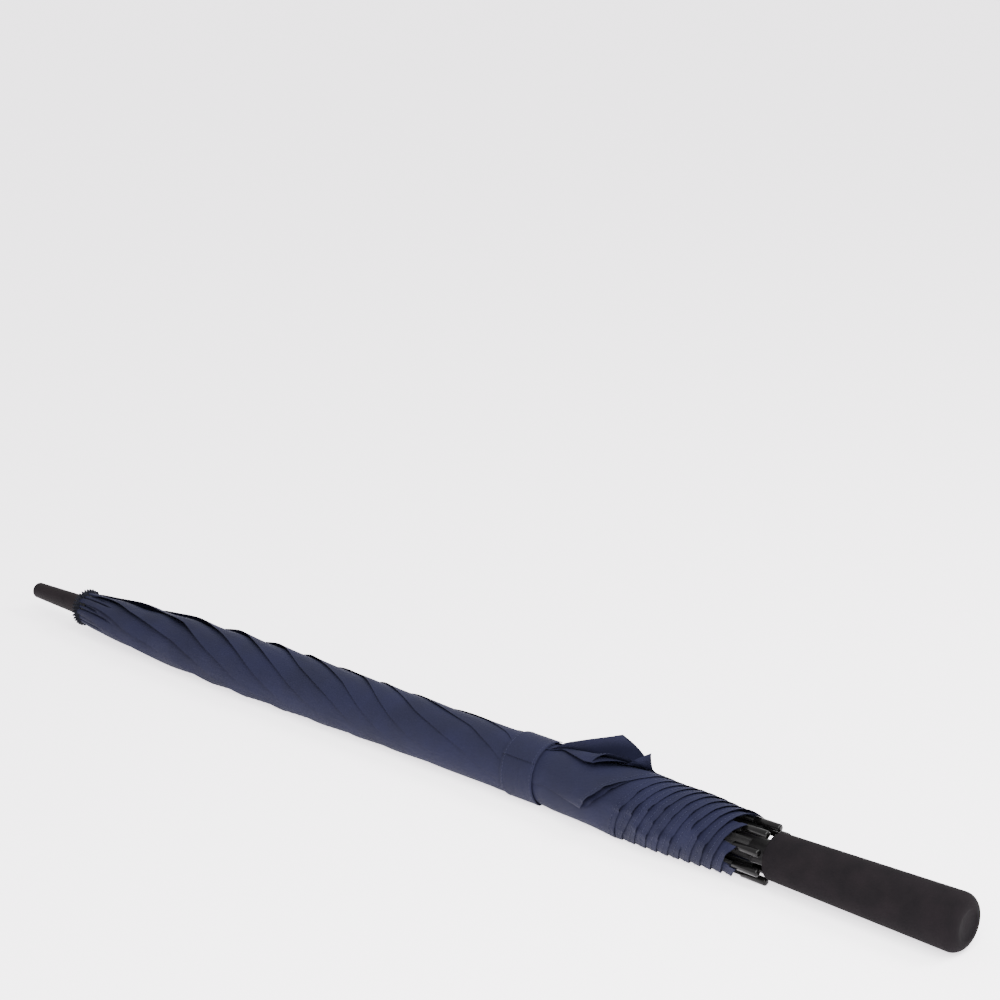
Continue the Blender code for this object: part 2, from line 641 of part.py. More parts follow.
# ---------------------------------------------------------------- rolled canopy
def in_strap_zone(a):
    return abs(a - STRAP_CENTRE) < STRAP_ZONE


def profile_radius(a):
    return NOTCH_RADIUS + between(ROLL_PROFILE, a / RIB_LENGTH)


def roll_radius(a, fin_height):
    """Outer radius of the rolled canopy at a distance from the pivots."""
    if in_strap_zone(a):
        return profile_radius(STRAP_CENTRE) - STRAP_THICKNESS - GAP
    fin = between(((FIN_START, 0.0), (FIN_PEAK, fin_height), (FIN_END, 0.0)), a)
    return profile_radius(a) + fin


def inner_radius(a):
    """Just outside the notch, the ribs and, where they are, the rib joints."""
    rib = PIVOT_RADIUS + rib_height(a) + RIB_RADIUS
    clearances = [rib + GAP]
    if a < NOTCH_HALF_LENGTH + HUB_ROOM:
        clearances.append(NOTCH_RADIUS + GAP)
    if abs(a - JOINT_CENTRE) < JOINT_ROOM:
        clearances.append(PIVOT_RADIUS + rib_height(a) + JOINT_SLEEVE_RADIUS + GAP)
    return max(clearances)


def round_point(a, radius, angle, lowest):
    """A point on the bundle, drawn in towards the shaft where it would pass below the lowest height."""
    fall = -sin(angle)
    if fall > 0.0:
        radius = min(radius, (AXIS_HEIGHT - lowest) / fall)
    return Vector((NOTCH_X + a, radius * cos(angle), radius * sin(angle)))


def gore_stations():
    """Places along the shaft where the gore's section is drawn, with the strap's edges."""
    edge, step = STRAP_ZONE, STRAP_STEP
    strap_edges = [STRAP_CENTRE + side * (edge + reach) for side in (-1, 1) for reach in (-step, step)]
    joint_edges = [JOINT_CENTRE + side * (JOINT_ROOM - step) for side in (-1, 1)]
    hub_edge = [NOTCH_HALF_LENGTH + HUB_ROOM - step]
    places = [share * RIB_LENGTH for share, thickness in ROLL_PROFILE]
    profile = [a for a in places if abs(a - STRAP_CENTRE) > 2 * edge]
    fin_ends = [FIN_START, FIN_END]
    stations = strap_edges + joint_edges + hub_edge + fin_ends + profile[1:-1]
    return [CLOTH_START, *sorted(stations), CLOTH_END]


def gore(index):
    """One gore, rolled: a plain closed sector of the bundle between two ribs."""
    sections = []
    for a in gore_stations():
        outer, inner = roll_radius(a, FIN_HEIGHTS[index]), inner_radius(a)
        lift = STRAP_THICKNESS + GAP if in_strap_zone(a) else 0.0
        margin = CLOTH_GAP / 2 / inner
        start, end = spoke_angle(index) + margin, spoke_angle(index + 1) - margin
        angles = [start + (end - start) * k / GORE_FACETS for k in range(GORE_FACETS + 1)]
        outside = [round_point(a, outer, t, CLOTH_FLOOR + lift) for t in angles]
        inside = [round_point(a, inner, t, CLOTH_UNDERSIDE + lift) for t in reversed(angles)]
        sections.append(outside + inside)
    return place(f"gore_{index + 1}", loft(sections), "canopy_cloth", SHAFT_LINE)


def band(start, sweep, low, thickness, width, steps):
    """A strip wrapped round the bundle, low above the cloth under it."""
    half = width / 2
    base = profile_radius(STRAP_CENTRE) - STRAP_THICKNESS + low
    sections = []
    for k in range(steps + 1):
        angle = start + sweep * k / steps
        corners = [(-half, thickness), (half, thickness), (half, 0.0), (-half, 0.0)]
        lowest = [CLOTH_FLOOR + thickness - rise for along, rise in corners]
        sections.append(
            [
                round_point(STRAP_CENTRE + along, base + rise, angle, low_point)
                for (along, rise), low_point in zip(corners, lowest)
            ]
        )
    return loft(sections)


def strap():
    """The tie strap, its tab, and the two halves of its hook-and-loop fastening."""
    loop_low = STRAP_THICKNESS + GAP
    hook_low = loop_low + PAD_THICKNESS + GAP
    tab_low = hook_low + PAD_THICKNESS + GAP
    pad_width = STRAP_WIDTH - 2 * PAD_MARGIN
    start, sweep = STRAP_FIRST_STEP * ARC_STEP, STRAP_STEPS * ARC_STEP
    wrapped = band(start, sweep, 0.0, STRAP_THICKNESS, STRAP_WIDTH, STRAP_STEPS)
    loop = band(PAD_START, PAD_SWEEP, loop_low, PAD_THICKNESS, pad_width, PAD_STEPS)
    hook = band(PAD_START, PAD_SWEEP, hook_low, PAD_THICKNESS, pad_width, PAD_STEPS)
    tab = band(TAB_START, TAB_SWEEP, tab_low, STRAP_THICKNESS, STRAP_WIDTH, TAB_STEPS)
    place("strap_band", wrapped, "canopy_cloth", SHAFT_LINE)
    place("strap_loop_pad", loop, "hook_and_loop", SHAFT_LINE)
    place("strap_hook_pad", hook, "hook_and_loop", SHAFT_LINE)
    place("strap_tab", tab, "canopy_cloth", SHAFT_LINE)


def rosette():
    """The gathered top of the cloth, held under the ferrule's base."""
    start = FERRULE_BASE_X - ROSETTE_LENGTH / 2
    end = NOTCH_X - NOTCH_HALF_LENGTH - GAP
    bore = FERRULE_BASE_RADIUS + GAP
    shoulder = FERRULE_BASE_X + GAP
    widest = ROSETTE_RADIUS - ROSETTE_INSET
    edge = (start, ROSETTE_RADIUS - ROSETTE_EDGE_DROP)
    outer = [edge, (start + ROSETTE_EDGE_LENGTH, widest), (end, widest)]
    inner = [(start, bore), (shoulder, bore), (shoulder, SHAFT_BORE), (end, SHAFT_BORE)]
    return place("rosette", turned(outer, inner), "canopy_cloth", SHAFT_LINE)


def build():
    shaft()
    ferrule()
    grip_sleeve()
    grip_foam()
    notch()
    notch_wire()
    notch_pin()
    open_stop()
    runner()
    runner_button()
    button_spring()
    spokes()
    for index in range(SPOKES):
        gore(index)
    strap()
    rosette()


build()
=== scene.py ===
# %% [markdown]
# # A rolled stick umbrella
# The frame holds the hard parts at their real sizes: shaft, ribs, stretchers, hubs, grip and
# ferrule. This script gives them their surfaces and makes the cloth. It measures the frame first,
# so that the cloth starts from the parts that are already there.

# %% Load the frame and measure it
import json
from math import cos, degrees, pi, radians, sin

import bmesh
import bpy
import numpy as np
from mathutils import Matrix, Vector


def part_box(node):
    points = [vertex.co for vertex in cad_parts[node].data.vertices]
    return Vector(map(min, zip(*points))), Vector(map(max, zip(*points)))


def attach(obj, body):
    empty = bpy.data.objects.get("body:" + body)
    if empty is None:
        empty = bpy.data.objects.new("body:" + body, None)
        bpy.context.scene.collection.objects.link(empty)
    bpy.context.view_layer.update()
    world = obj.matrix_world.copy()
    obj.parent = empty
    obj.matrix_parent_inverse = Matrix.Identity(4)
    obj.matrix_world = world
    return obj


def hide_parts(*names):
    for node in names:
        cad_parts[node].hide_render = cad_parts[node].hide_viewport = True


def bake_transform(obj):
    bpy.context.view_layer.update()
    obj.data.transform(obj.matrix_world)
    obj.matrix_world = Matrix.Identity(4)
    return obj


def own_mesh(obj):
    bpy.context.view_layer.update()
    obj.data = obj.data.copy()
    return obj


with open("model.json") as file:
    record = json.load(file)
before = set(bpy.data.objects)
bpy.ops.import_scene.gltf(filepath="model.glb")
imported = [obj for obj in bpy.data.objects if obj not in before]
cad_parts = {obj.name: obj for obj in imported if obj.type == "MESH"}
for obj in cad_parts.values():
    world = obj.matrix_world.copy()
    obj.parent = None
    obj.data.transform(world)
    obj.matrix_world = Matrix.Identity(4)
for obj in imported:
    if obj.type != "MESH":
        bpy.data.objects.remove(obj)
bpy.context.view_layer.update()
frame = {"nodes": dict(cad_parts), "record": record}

MM = 0.001
SPOKES = 8
STEP = 2 * pi / SPOKES
FIRST_RIB = STEP / 2  # measured from +Y, rising towards +Z

BODY_OF = {n: b for b, nodes in frame["record"]["behaviour"]["bodies"].items() for n in nodes}


def span(node, axis):
    low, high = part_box(node)
    return low[axis], high[axis]


def middle(node, axis):
    low, high = span(node, axis)
    return (low + high) / 2


AXIS_Z = middle("shaft", 2)
NOTCH_X = middle("notch_wire", 0)
WIRE_RADIUS = middle("notch_wire", 2) - span("notch_wire", 2)[0] - 0.6 * MM
TIP_START = span("rib_tip_1", 0)[0] - NOTCH_X
TIP_END = span("rib_tip_1", 0)[1] - NOTCH_X
RIB_END = TIP_START + 11.5 * MM
TIP_CIRCLE = np.hypot(middle("rib_tip_1", 1), middle("rib_tip_1", 2) - AXIS_Z)
STRAP_A = middle("strap_band", 0) - NOTCH_X
STRAP_WIDTH = span("strap_band", 0)[1] - span("strap_band", 0)[0]
print(f"ribs run {RIB_END:.3f} m from the notch, tips on a {2 * TIP_CIRCLE / MM:.0f} mm circle")


def rib_angle(index):
    return FIRST_RIB + index * STEP


def rib_radius(a):
    """Distance of a rib's centre line from the shaft line, at a distance from the notch."""
    return WIRE_RADIUS + (TIP_CIRCLE - WIRE_RADIUS) * a / (RIB_END - 0.5 * MM)


# %% [markdown]
# ## Camera, light and floor
# The umbrella lies on a pale floor and is seen from the grip's end, a little from above, with a
# long lens. Two soft lamps hang past the grip's end, one in front and one behind, a weaker one
# lights the grip's near side, and an even pale world fills the rest. The floor is paper that glows
# faintly: that keeps it pale and light, and it lights the underside of the umbrella a little.

# %% Camera
def look(obj, place, target):
    obj.location = place
    obj.rotation_euler = (Vector(target) - Vector(place)).to_track_quat("-Z", "Y").to_euler()


LENS_MM = 86.18
CAMERA_FROM_GRIP = Vector((0.7359, -1.2589, 0.7273))
CAMERA_PITCH = radians(16.95)
CAMERA_AZIMUTH = radians(42.52)

camera = bpy.data.objects.new("camera", bpy.data.cameras.new("camera"))
bpy.context.scene.collection.objects.link(camera)
camera.data.lens = LENS_MM
camera.data.sensor_width = 36.0
grip_end = Vector((span("grip_foam", 0)[1], 0.0, AXIS_Z))
camera.location = grip_end + CAMERA_FROM_GRIP
camera.rotation_euler = (pi / 2 - CAMERA_PITCH, 0.0, CAMERA_AZIMUTH)
bpy.context.scene.camera = camera
print("camera at", [round(v, 3) for v in camera.location])


# %% Lamps and floor
def lamp(name, place, target, size, power):
    light = bpy.data.objects.new(name, bpy.data.lights.new(name, "AREA"))
    bpy.context.scene.collection.objects.link(light)
    light.data.shape = "DISK"
    light.data.size = size
    light.data.energy = power
    look(light, place, target)


lamp("key", (1.0, -0.30, 1.7), (0.25, 0.0, 0.0), 1.1, 46)
lamp("back_key", (1.2, 1.1, 1.7), (0.2, 0.0, 0.0), 0.9, 40)
lamp("handle_side", (0.90, -0.80, 0.85), (0.2, 0.0, 0.0), 0.7, 19)

world = bpy.data.worlds.new("studio")
bpy.context.scene.world = world
world.use_nodes = True
world.node_tree.nodes["Background"].inputs["Color"].default_value = (1.0, 0.99, 0.995, 1.0)
world.node_tree.nodes["Background"].inputs["Strength"].default_value = 1.65

FLOOR_HALF = 6.0
floor_mesh = bpy.data.meshes.new("floor")
around = ((-1, -1), (1, -1), (1, 1), (-1, 1))
floor_corners = [(FLOOR_HALF * x, FLOOR_HALF * y, 0) for x, y in around]
floor_mesh.from_pydata(floor_corners, [], [(0, 1, 2, 3)])
floor = bpy.data.objects.new("floor", floor_mesh)
bpy.context.scene.collection.objects.link(floor)


# %% [markdown]
# ## Materials
# Each finish is one Principled shader with a few nodes for what the real surface shows. One helper
# turns a hex colour to linear, and one adds a node with its settings and its links.

# %% Two helpers for materials
def linear(hex_colour):
    """An sRGB hex colour as linear RGBA."""
    channels = [int(hex_colour[k : k + 2], 16) / 255 for k in (1, 3, 5)]
    flat = [c / 12.92 if c <= 0.04045 else ((c + 0.055) / 1.055) ** 2.4 for c in channels]
    return (*flat, 1.0)


def add(tree, kind, settings=None, values=None, links=None):
    """A node of that kind, with its properties, its unlinked inputs and its linked inputs."""
    node = tree.nodes.new(kind)
    for key, value in (settings or {}).items():
        setattr(node, key, value)
    for key, value in (values or {}).items():
        node.inputs[key].default_value = value
    for key, socket in (links or {}).items():
        tree.links.new(socket, node.inputs[key])
    return node


def new_material(name):
    made = bpy.data.materials.new(name)
    made.use_nodes = True
    return made, made.node_tree, made.node_tree.nodes["Principled BSDF"]


def two_tone(tree, factor, dark, light):
    """A colour ramp between two hex colours."""
    tones = add(tree, "ShaderNodeValToRGB", links={"Fac": factor})
    for stop, place, colour in zip(tones.color_ramp.elements, (0.35, 0.65), (dark, light)):
        stop.position = place
        stop.color = linear(colour)
    return tones


# %% [markdown]
# ### Canopy cloth
# Pongee is a light, plain polyester weave with a dull sheen. Its threads are a tenth of a
# millimetre apart, which no camera at this distance shows, so the weave is drawn four or five times
# as coarse. The pattern follows each panel's own UV map, which holds metres across and along the
# cloth. Soft creases run with the threads, and the dye is a touch uneven.

# %% Navy polyester pongee
THREAD = 0.45 * MM
BAND_PERIOD = 0.314  # metres from band to band of the wave texture, at a scale of 1


def pongee(name, dark, light):
    made, tree, shader = new_material(name)
    uv = add(tree, "ShaderNodeUVMap", {"uv_map": "cloth"}).outputs["UV"]
    where = add(tree, "ShaderNodeTexCoord").outputs["Object"]
    waves = []
    for direction in ("X", "Y"):
        settings = {"wave_type": "BANDS", "bands_direction": direction, "wave_profile": "SIN"}
        values = {"Scale": BAND_PERIOD / THREAD, "Distortion": 0.6, "Detail": 1.0}
        waves.append(add(tree, "ShaderNodeTexWave", settings, values, {"Vector": uv}))
    weave = add(
        tree,
        "ShaderNodeMath",
        {"operation": "MULTIPLY"},
        links={0: waves[0].outputs["Fac"], 1: waves[1].outputs["Fac"]},
    )
    stretched = add(tree, "ShaderNodeMapping", values={"Scale": (260, 40, 1)}, links={"Vector": uv})
    creases = add(
        tree,
        "ShaderNodeTexNoise",
        values={"Scale": 1.0, "Detail": 3.0, "Roughness": 0.55},
        links={"Vector": stretched.outputs["Vector"]},
    )
    patches = add(
        tree, "ShaderNodeTexNoise", values={"Scale": 34.0, "Detail": 2.0}, links={"Vector": where}
    )
    colour = two_tone(tree, patches.outputs["Fac"], dark, light)
    tree.links.new(colour.outputs["Color"], shader.inputs["Base Color"])
    soft = add(
        tree,
        "ShaderNodeBump",
        values={"Strength": 0.5, "Distance": 0.9 * MM},
        links={"Height": creases.outputs["Fac"]},
    )
    fine = add(
        tree,
        "ShaderNodeBump",
        values={"Strength": 0.25, "Distance": 0.08 * MM},
        links={"Height": weave.outputs["Value"], "Normal": soft.outputs["Normal"]},
    )
    tree.links.new(fine.outputs["Normal"], shader.inputs["Normal"])
    shader.inputs["Roughness"].default_value = 0.75
    shader.inputs["Specular IOR Level"].default_value = 0.10
    shader.inputs["Sheen Weight"].default_value = 0.03
    shader.inputs["Sheen Roughness"].default_value = 0.45
    shader.inputs["Sheen Tint"].default_value = linear("#8088B0")
    return made


CANOPY = pongee("navy_pongee", "#131424", "#151629")
# The ruffle and the gathered collar are the canopy's pongee in darker tones: painted shade for the
# tight folds at the gathered top.
SHADED_RUFFLE_CLOTH = pongee("navy_pongee_painted_shade", "#08090F", "#0D0E17")


# %% [markdown]
# ### Thread, hook-and-loop, foam and mouldings
# The grip is a closed-cell EVA foam, moulded and lightly sanded: fine pores and a mottled charcoal
# brown, quite matt. The mouldings are nylon with a spark-eroded grain. The glass fibre rods are
# pultruded, so they are smooth with fine lines along their length.

# %% The other finishes
def grained(name, dark, light, roughness, grain, depth, gloss):
    """A moulded surface: two close tones and a fine random grain of the given size in metres."""
    made, tree, shader = new_material(name)
    where = add(tree, "ShaderNodeTexCoord").outputs["Object"]
    tone = add(
        tree, "ShaderNodeTexNoise", values={"Scale": 55.0, "Detail": 5.0}, links={"Vector": where}
    )
    colour = two_tone(tree, tone.outputs["Fac"], dark, light)
    tree.links.new(colour.outputs["Color"], shader.inputs["Base Color"])
    pores = add(
        tree,
        "ShaderNodeTexNoise",
        values={"Scale": 0.5 / grain, "Detail": 4.0, "Roughness": 0.6},
        links={"Vector": where},
    )
    bump = add(
        tree,
        "ShaderNodeBump",
        values={"Strength": 0.5, "Distance": depth},
        links={"Height": pores.outputs["Fac"]},
    )
    tree.links.new(bump.outputs["Normal"], shader.inputs["Normal"])
    rough = add(
        tree,
        "ShaderNodeMapRange",
        values={"To Min": roughness - 0.06, "To Max": roughness + 0.06},
        links={"Value": tone.outputs["Fac"]},
    )
    tree.links.new(rough.outputs["Result"], shader.inputs["Roughness"])
    shader.inputs["Specular IOR Level"].default_value = gloss
    return made


def drawn(name, dark, light, roughness, metallic=0.0, gloss=0.5):
    """A rod or wire pulled through a die: fine lines along X."""
    made, tree, shader = new_material(name)
    where = add(tree, "ShaderNodeTexCoord").outputs["Object"]
    along = add(tree, "ShaderNodeMapping", values={"Scale": (6, 900, 900)}, links={"Vector": where})
    lines = add(
        tree,
        "ShaderNodeTexNoise",
        values={"Scale": 1.0, "Detail": 2.0},
        links={"Vector": along.outputs["Vector"]},
    )
    colour = two_tone(tree, lines.outputs["Fac"], dark, light)
    tree.links.new(colour.outputs["Color"], shader.inputs["Base Color"])
    bump = add(
        tree,
        "ShaderNodeBump",
        values={"Strength": 0.3, "Distance": 0.04 * MM},
        links={"Height": lines.outputs["Fac"]},
    )
    tree.links.new(bump.outputs["Normal"], shader.inputs["Normal"])
    shader.inputs["Roughness"].default_value = roughness
    shader.inputs["Metallic"].default_value = metallic
    shader.inputs["Specular IOR Level"].default_value = gloss
    return made


EVA_FOAM = grained("charcoal_eva_foam", "#0F0D0F", "#141113", 0.9, 0.5 * MM, 0.12 * MM, 0.05)
NYLON = grained("black_moulded_nylon", "#080708", "#0C0B0C", 0.5, 0.35 * MM, 0.03 * MM, 0.14)
TIP_NYLON = grained("gloss_black_nylon", "#060606", "#0A090A", 0.22, 0.8 * MM, 0.008 * MM, 0.16)
FERRULE_ABS = grained("dark_brown_abs", "#131012", "#181416", 0.7, 0.4 * MM, 0.03 * MM, 0.05)
GLASS_FIBRE = drawn("black_pultruded_glass_fibre", "#050506", "#09090A", 0.5, gloss=0.08)
SPRING_STEEL = drawn("drawn_spring_steel", "#8C8D90", "#A9AAAD", 0.33, 1.0)
THREAD_NAVY = grained(
    "navy_polyester_thread", "#191B2E", "#20223A", 0.75, 0.15 * MM, 0.05 * MM, 0.3
)
HOOK_TAPE = grained("black_hook_and_loop", "#0A0A0C", "#121216", 0.95, 0.4 * MM, 0.35 * MM, 0.2)
PALE_FLOOR, _, floor_shader = new_material("pale_paper_floor")
floor_shader.inputs["Base Color"].default_value = linear("#F4F2F3")
floor_shader.inputs["Roughness"].default_value = 0.95
floor_shader.inputs["Emission Color"].default_value = linear("#FAF5FB")
floor_shader.inputs["Emission Strength"].default_value = 1.8
floor_shader.inputs["Specular IOR Level"].default_value = 0.1
floor_mesh.materials.append(PALE_FLOOR)
print(len(bpy.data.materials), "materials")


# %% [markdown]
# ## Hard parts
# The frame's own parts have the right shape but flat facets. A smooth copy of each stands for it:
# the copy's loose triangles are merged, and edges sharper than a limit stay sharp.

# %% Helpers for pieces
def add_piece(name, mesh, material, body):
    """A finished piece at the origin, riding on its body, if it has one."""
    obj = bpy.data.objects.new(name, mesh)
    bpy.context.scene.collection.objects.link(obj)
    mesh.materials.clear()
    mesh.materials.append(material)
    if body:
        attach(obj, body)
    return obj


def smooth(mesh, angle=35):
    mesh.shade_smooth()
    mesh.set_sharp_from_angle(angle=radians(angle))


MERGE = 0.002 * MM


def mended(mesh, distance=MERGE, fill=False):
    """Joins doubled points, fills open ends if asked to, and turns the faces outwards."""
    bm = bmesh.new()
    bm.from_mesh(mesh)
    bmesh.ops.remove_doubles(bm, verts=bm.verts, dist=distance)
    if fill:
        bmesh.ops.holes_fill(bm, edges=[e for e in bm.edges if e.is_boundary], sides=0)
    bmesh.ops.recalc_face_normals(bm, faces=bm.faces)
    bm.to_mesh(mesh)
    bm.free()
    return mesh


def polished(node, material):
    """A smooth copy of a CAD node, which stands for it."""
    bm = bmesh.new()
    bm.from_mesh(frame["nodes"][node].data)
    bmesh.ops.remove_doubles(bm, verts=bm.verts, dist=MERGE)
    mesh = bpy.data.meshes.new(node + "_smooth")
    bm.to_mesh(mesh)
    bm.free()
    smooth(mesh)
    obj = add_piece(node + "_smooth", mesh, material, BODY_OF[node])
    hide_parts(node)


# %% Smooth copies with their finishes
for node in ("notch", "open_stop", "runner", "runner_button", "grip_sleeve"):
    polished(node, NYLON)
polished("shaft", GLASS_FIBRE)
for node in ("notch_wire", "notch_pin", "button_spring"):
    polished(node, SPRING_STEEL)
for k in range(1, SPOKES + 1):
    polished(f"rib_{k}", GLASS_FIBRE)
    polished(f"stretcher_{k}", GLASS_FIBRE)
    polished(f"rib_joint_{k}", NYLON)
print("hard parts smoothed")


# %% [markdown]
# ## Turned parts: grip, ferrule and rib tips
# These show their outline, so they are turned again with more facets and their small details. A
# profile of radius against length is spun with the Screw modifier, and the result is made a mesh.

# %% Turning helper
def turned_mesh(name, profile, segments):
    """Spins (x, radius) points round the X axis. The profile runs from the axis back to it."""
    mesh = bpy.data.meshes.new(name)
    points = [(radius, 0.0, -x) for x, radius in profile]
    mesh.from_pydata(points, [(k, k + 1) for k in range(len(points) - 1)], [])
    obj = bpy.data.objects.new(name, mesh)
    bpy.context.scene.collection.objects.link(obj)
    screw = obj.modifiers.new("turn", "SCREW")
    screw.angle = 2 * pi
    screw.steps = screw.render_steps = segments
    screw.use_merge_vertices = True
    screw.merge_threshold = 0.001 * MM
    bpy.context.view_layer.update()
    made = bpy.data.meshes.new_from_object(obj.evaluated_get(bpy.context.evaluated_depsgraph_get()))
    bpy.data.objects.remove(obj, do_unlink=True)
    made.transform(Matrix.Rotation(-pi / 2, 4, "Y"))
    return mended(made)


def arc(x, r, radius, start, end, steps):
    angles = [radians(start + (end - start) * k / steps) for k in range(steps + 1)]
    return [(x + radius * cos(t), r + radius * sin(t)) for t in angles]


# %% Foam grip
GRIP_X = span("grip_foam", 0)
GRIP_R = (span("grip_foam", 2)[1] - span("grip_foam", 2)[0]) / 2
NECK_R = 17.5 * MM
BORE_R = 9.9 * MM
END_ROUND = 9 * MM
END_DISH = 0.6 * MM


def grip_profile():
    """A straight taper with a rounded end and a dished disc in it."""
    start, end = GRIP_X
    neck = arc(start + 1.4 * MM, NECK_R - 1.4 * MM, 1.4 * MM, 180, 90, 6)
    shoulder = arc(end - END_ROUND, GRIP_R - END_ROUND, END_ROUND, 90, 14, 14)
    flat = GRIP_R - END_ROUND
    rim = [(end, flat + 0.8 * MM), (end, flat - 1.0 * MM), (end - END_DISH, flat - 1.8 * MM)]
    dish = [(end - END_DISH, 3 * MM), (end - END_DISH, 0.0)]
    body = []
    for k in range(1, 24):
        t = k / 24
        x = neck[-1][0] + (shoulder[0][0] - neck[-1][0]) * t
        body.append((x, NECK_R + (GRIP_R - NECK_R) * t))
    inside = [(end - 14 * MM, 0.0), (end - 14 * MM, BORE_R), (start, BORE_R)]
    return inside + neck + body + shoulder + rim + dish


grip_mesh = turned_mesh("grip_foam_turned", grip_profile(), 128)
grip_mesh.transform(Matrix.Translation((0, 0, AXIS_Z)))
smooth(grip_mesh, 40)
grip = add_piece("grip_foam_turned", grip_mesh, EVA_FOAM, BODY_OF["grip_foam"])
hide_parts("grip_foam")

# %% Ferrule
FERRULE_X = span("ferrule", 0)


def ferrule_profile():
    """A slim taper with a softly rounded tip, a moulded collar ring and an open socket."""
    start, end = FERRULE_X
    tip, base, bore = 7.2 * MM, 9.1 * MM, 7.3 * MM
    nose = arc(start + 2.6 * MM, tip - 2.6 * MM, 2.6 * MM, 180, 96, 8)
    ring = [(end - 4.2 * MM, base - 0.1 * MM), (end - 4.0 * MM, base - 0.45 * MM)]
    ring += [(end - 3.2 * MM, base - 0.45 * MM), (end - 3.0 * MM, base), (end, base)]
    socket = [(end, bore), (end - 28 * MM, bore), (end - 28 * MM, 0.0)]
    return [(start, 0.0), *nose, *ring, *socket]


ferrule_mesh = turned_mesh("ferrule_turned", ferrule_profile(), 72)
ferrule_mesh.transform(Matrix.Translation((0, 0, AXIS_Z)))
smooth(ferrule_mesh, 30)
ferrule = add_piece("ferrule_turned", ferrule_mesh, FERRULE_ABS, "frame")
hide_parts("ferrule")


# %% Rib tips
def tip_profile(length, radius, bore):
    """A plain sleeve with a rolled mouth and a rounded end."""
    rounding = radius * 0.55
    mouth = [(length * 0.55, 0.0), (length * 0.55, bore), (0.0, bore), (0.0, radius * 0.9)]
    sleeve = [(0.5 * MM, radius), (length - rounding, radius)]
    end = arc(length - rounding, radius - rounding, rounding, 80, 0, 6)
    return [*mouth, *sleeve, *end, (length, 0.0)]


TIP_LENGTH = TIP_END - TIP_START
TIP_R = 3.0 * MM
slope = np.arctan2(TIP_CIRCLE - WIRE_RADIUS, RIB_END)
for k in range(SPOKES):
    mesh = turned_mesh(f"rib_tip_{k + 1}_turned", tip_profile(TIP_LENGTH, TIP_R, 2.1 * MM), 32)
    mesh.transform(Matrix.Rotation(-slope, 4, "Y"))
    mesh.transform(Matrix.Translation((TIP_START, 0.0, rib_radius(TIP_START))))
    mesh.transform(Matrix.Rotation(rib_angle(k) - pi / 2, 4, "X"))
    mesh.transform(Matrix.Translation((NOTCH_X, 0.0, AXIS_Z)))
    smooth(mesh, 50)
    tip = add_piece(f"rib_tip_{k + 1}_turned", mesh, TIP_NYLON, f"rib_{k + 1}")
    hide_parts(f"rib_tip_{k + 1}")
print("turned", SPOKES, "rib tips")


# %% [markdown]
# ## The rolled canopy
# Each gore is a long triangle of cloth between two ribs. When the umbrella is furled, its middle
# line becomes the folded edge of a flap, and all eight flaps are wound round the ribs the same way.
# So the roll is an eight-start spiral: at a distance `a` from the notch a flap is `0.376 a` wide,
# and it goes round as far as that width reaches. Its folded edge climbs round the roll as a helix,
# and its hem shows as the last, closely spaced edges near the rib tips. This rule makes the sheet
# directly. The roll's outline, the drift of the edges, the creases at the top, the two pleats and
# the loose corners are listed one by one.

# %% The cut of a gore and the shape of the roll
HALF_WIDTH_PER_LENGTH = 0.376  # tangent of half the gore's angle at the top
CORNER_A = 0.612  # where the folded edge ends and the hem begins
HEM_FALL = 0.1065  # how far the hem climbs on its way round the roll
CORNER_TURN = 0.15  # the last share of the hem, which turns up to the loose corner
TIP_POINT = 3.0 * MM  # how far the cloth's points reach past the hem, to the rib tips
POINT_TURN = 0.05  # the first share of the hem, which falls from such a point
CLOTH_TOP = -4.5 * MM
CLOTH_BOTTOM = TIP_START + 4.5 * MM
FULL_WRAP = HALF_WIDTH_PER_LENGTH * CORNER_A

ROLL_OUTSIDE = (
    (-0.006, 0.0138),
    (0.000, 0.0149),
    (0.028, 0.0177),
    (0.060, 0.0203),
    (0.140, 0.0240),
    (0.215, 0.0256),
    (0.300, 0.0250),
    (0.410, 0.0238),
    (0.500, 0.0238),
    (0.590, 0.0252),
    (0.640, 0.0272),
    (0.680, 0.0268),
    (0.715, 0.0252),
    (0.745, 0.0236),
)


def curve_through(table, x):
    """A smooth curve through (x, y) points, by cubic Hermite pieces with even slopes."""
    xs, ys = np.array(table).T
    slopes = np.gradient(ys, xs)
    k = np.clip(np.searchsorted(xs, x) - 1, 0, len(xs) - 2)
    h = xs[k + 1] - xs[k]
    t = np.clip((x - xs[k]) / h, 0.0, 1.0)
    start = ys[k] * (1 + 2 * t) * (1 - t) ** 2 + slopes[k] * h * t * (1 - t) ** 2
    return start + ys[k + 1] * t * t * (3 - 2 * t) + slopes[k + 1] * h * t * t * (t - 1)


def ramp(low, high, x):
    t = np.clip((x - low) / (high - low), 0.0, 1.0)
    return t * t * (3 - 2 * t)


def strap_grip(a):
    """One where the strap presses the roll, falling to zero beside it."""
    return 1.0 - ramp(STRAP_WIDTH * 0.5, STRAP_WIDTH * 0.5 + 14 * MM, np.abs(a - STRAP_A))


STRAP_BED = 23.7 * MM  # the roll's radius where the strap presses it


def outside(a):
    free = curve_through(ROLL_OUTSIDE, a)
    return free + (STRAP_BED - free) * strap_grip(a)


def inside(a):
    """Just outside the ribs and their tips."""
    return rib_radius(a) + 2.3 * MM + 1.1 * MM * ramp(TIP_START - 4 * MM, TIP_START, a)


def hem_at(share, corner):
    """Where the hem lies, from the rib (share 0) to the loose corner (share 1, at corner)."""
    plain = CLOTH_BOTTOM - HEM_FALL * share - TIP_POINT * ramp(0.0, POINT_TURN, share)
    pull = CLOTH_BOTTOM - HEM_FALL - TIP_POINT - corner
    turned_up = np.clip((share - 1 + CORNER_TURN) / CORNER_TURN, 0.0, 1.0) ** 1.5
    return plain - pull * turned_up


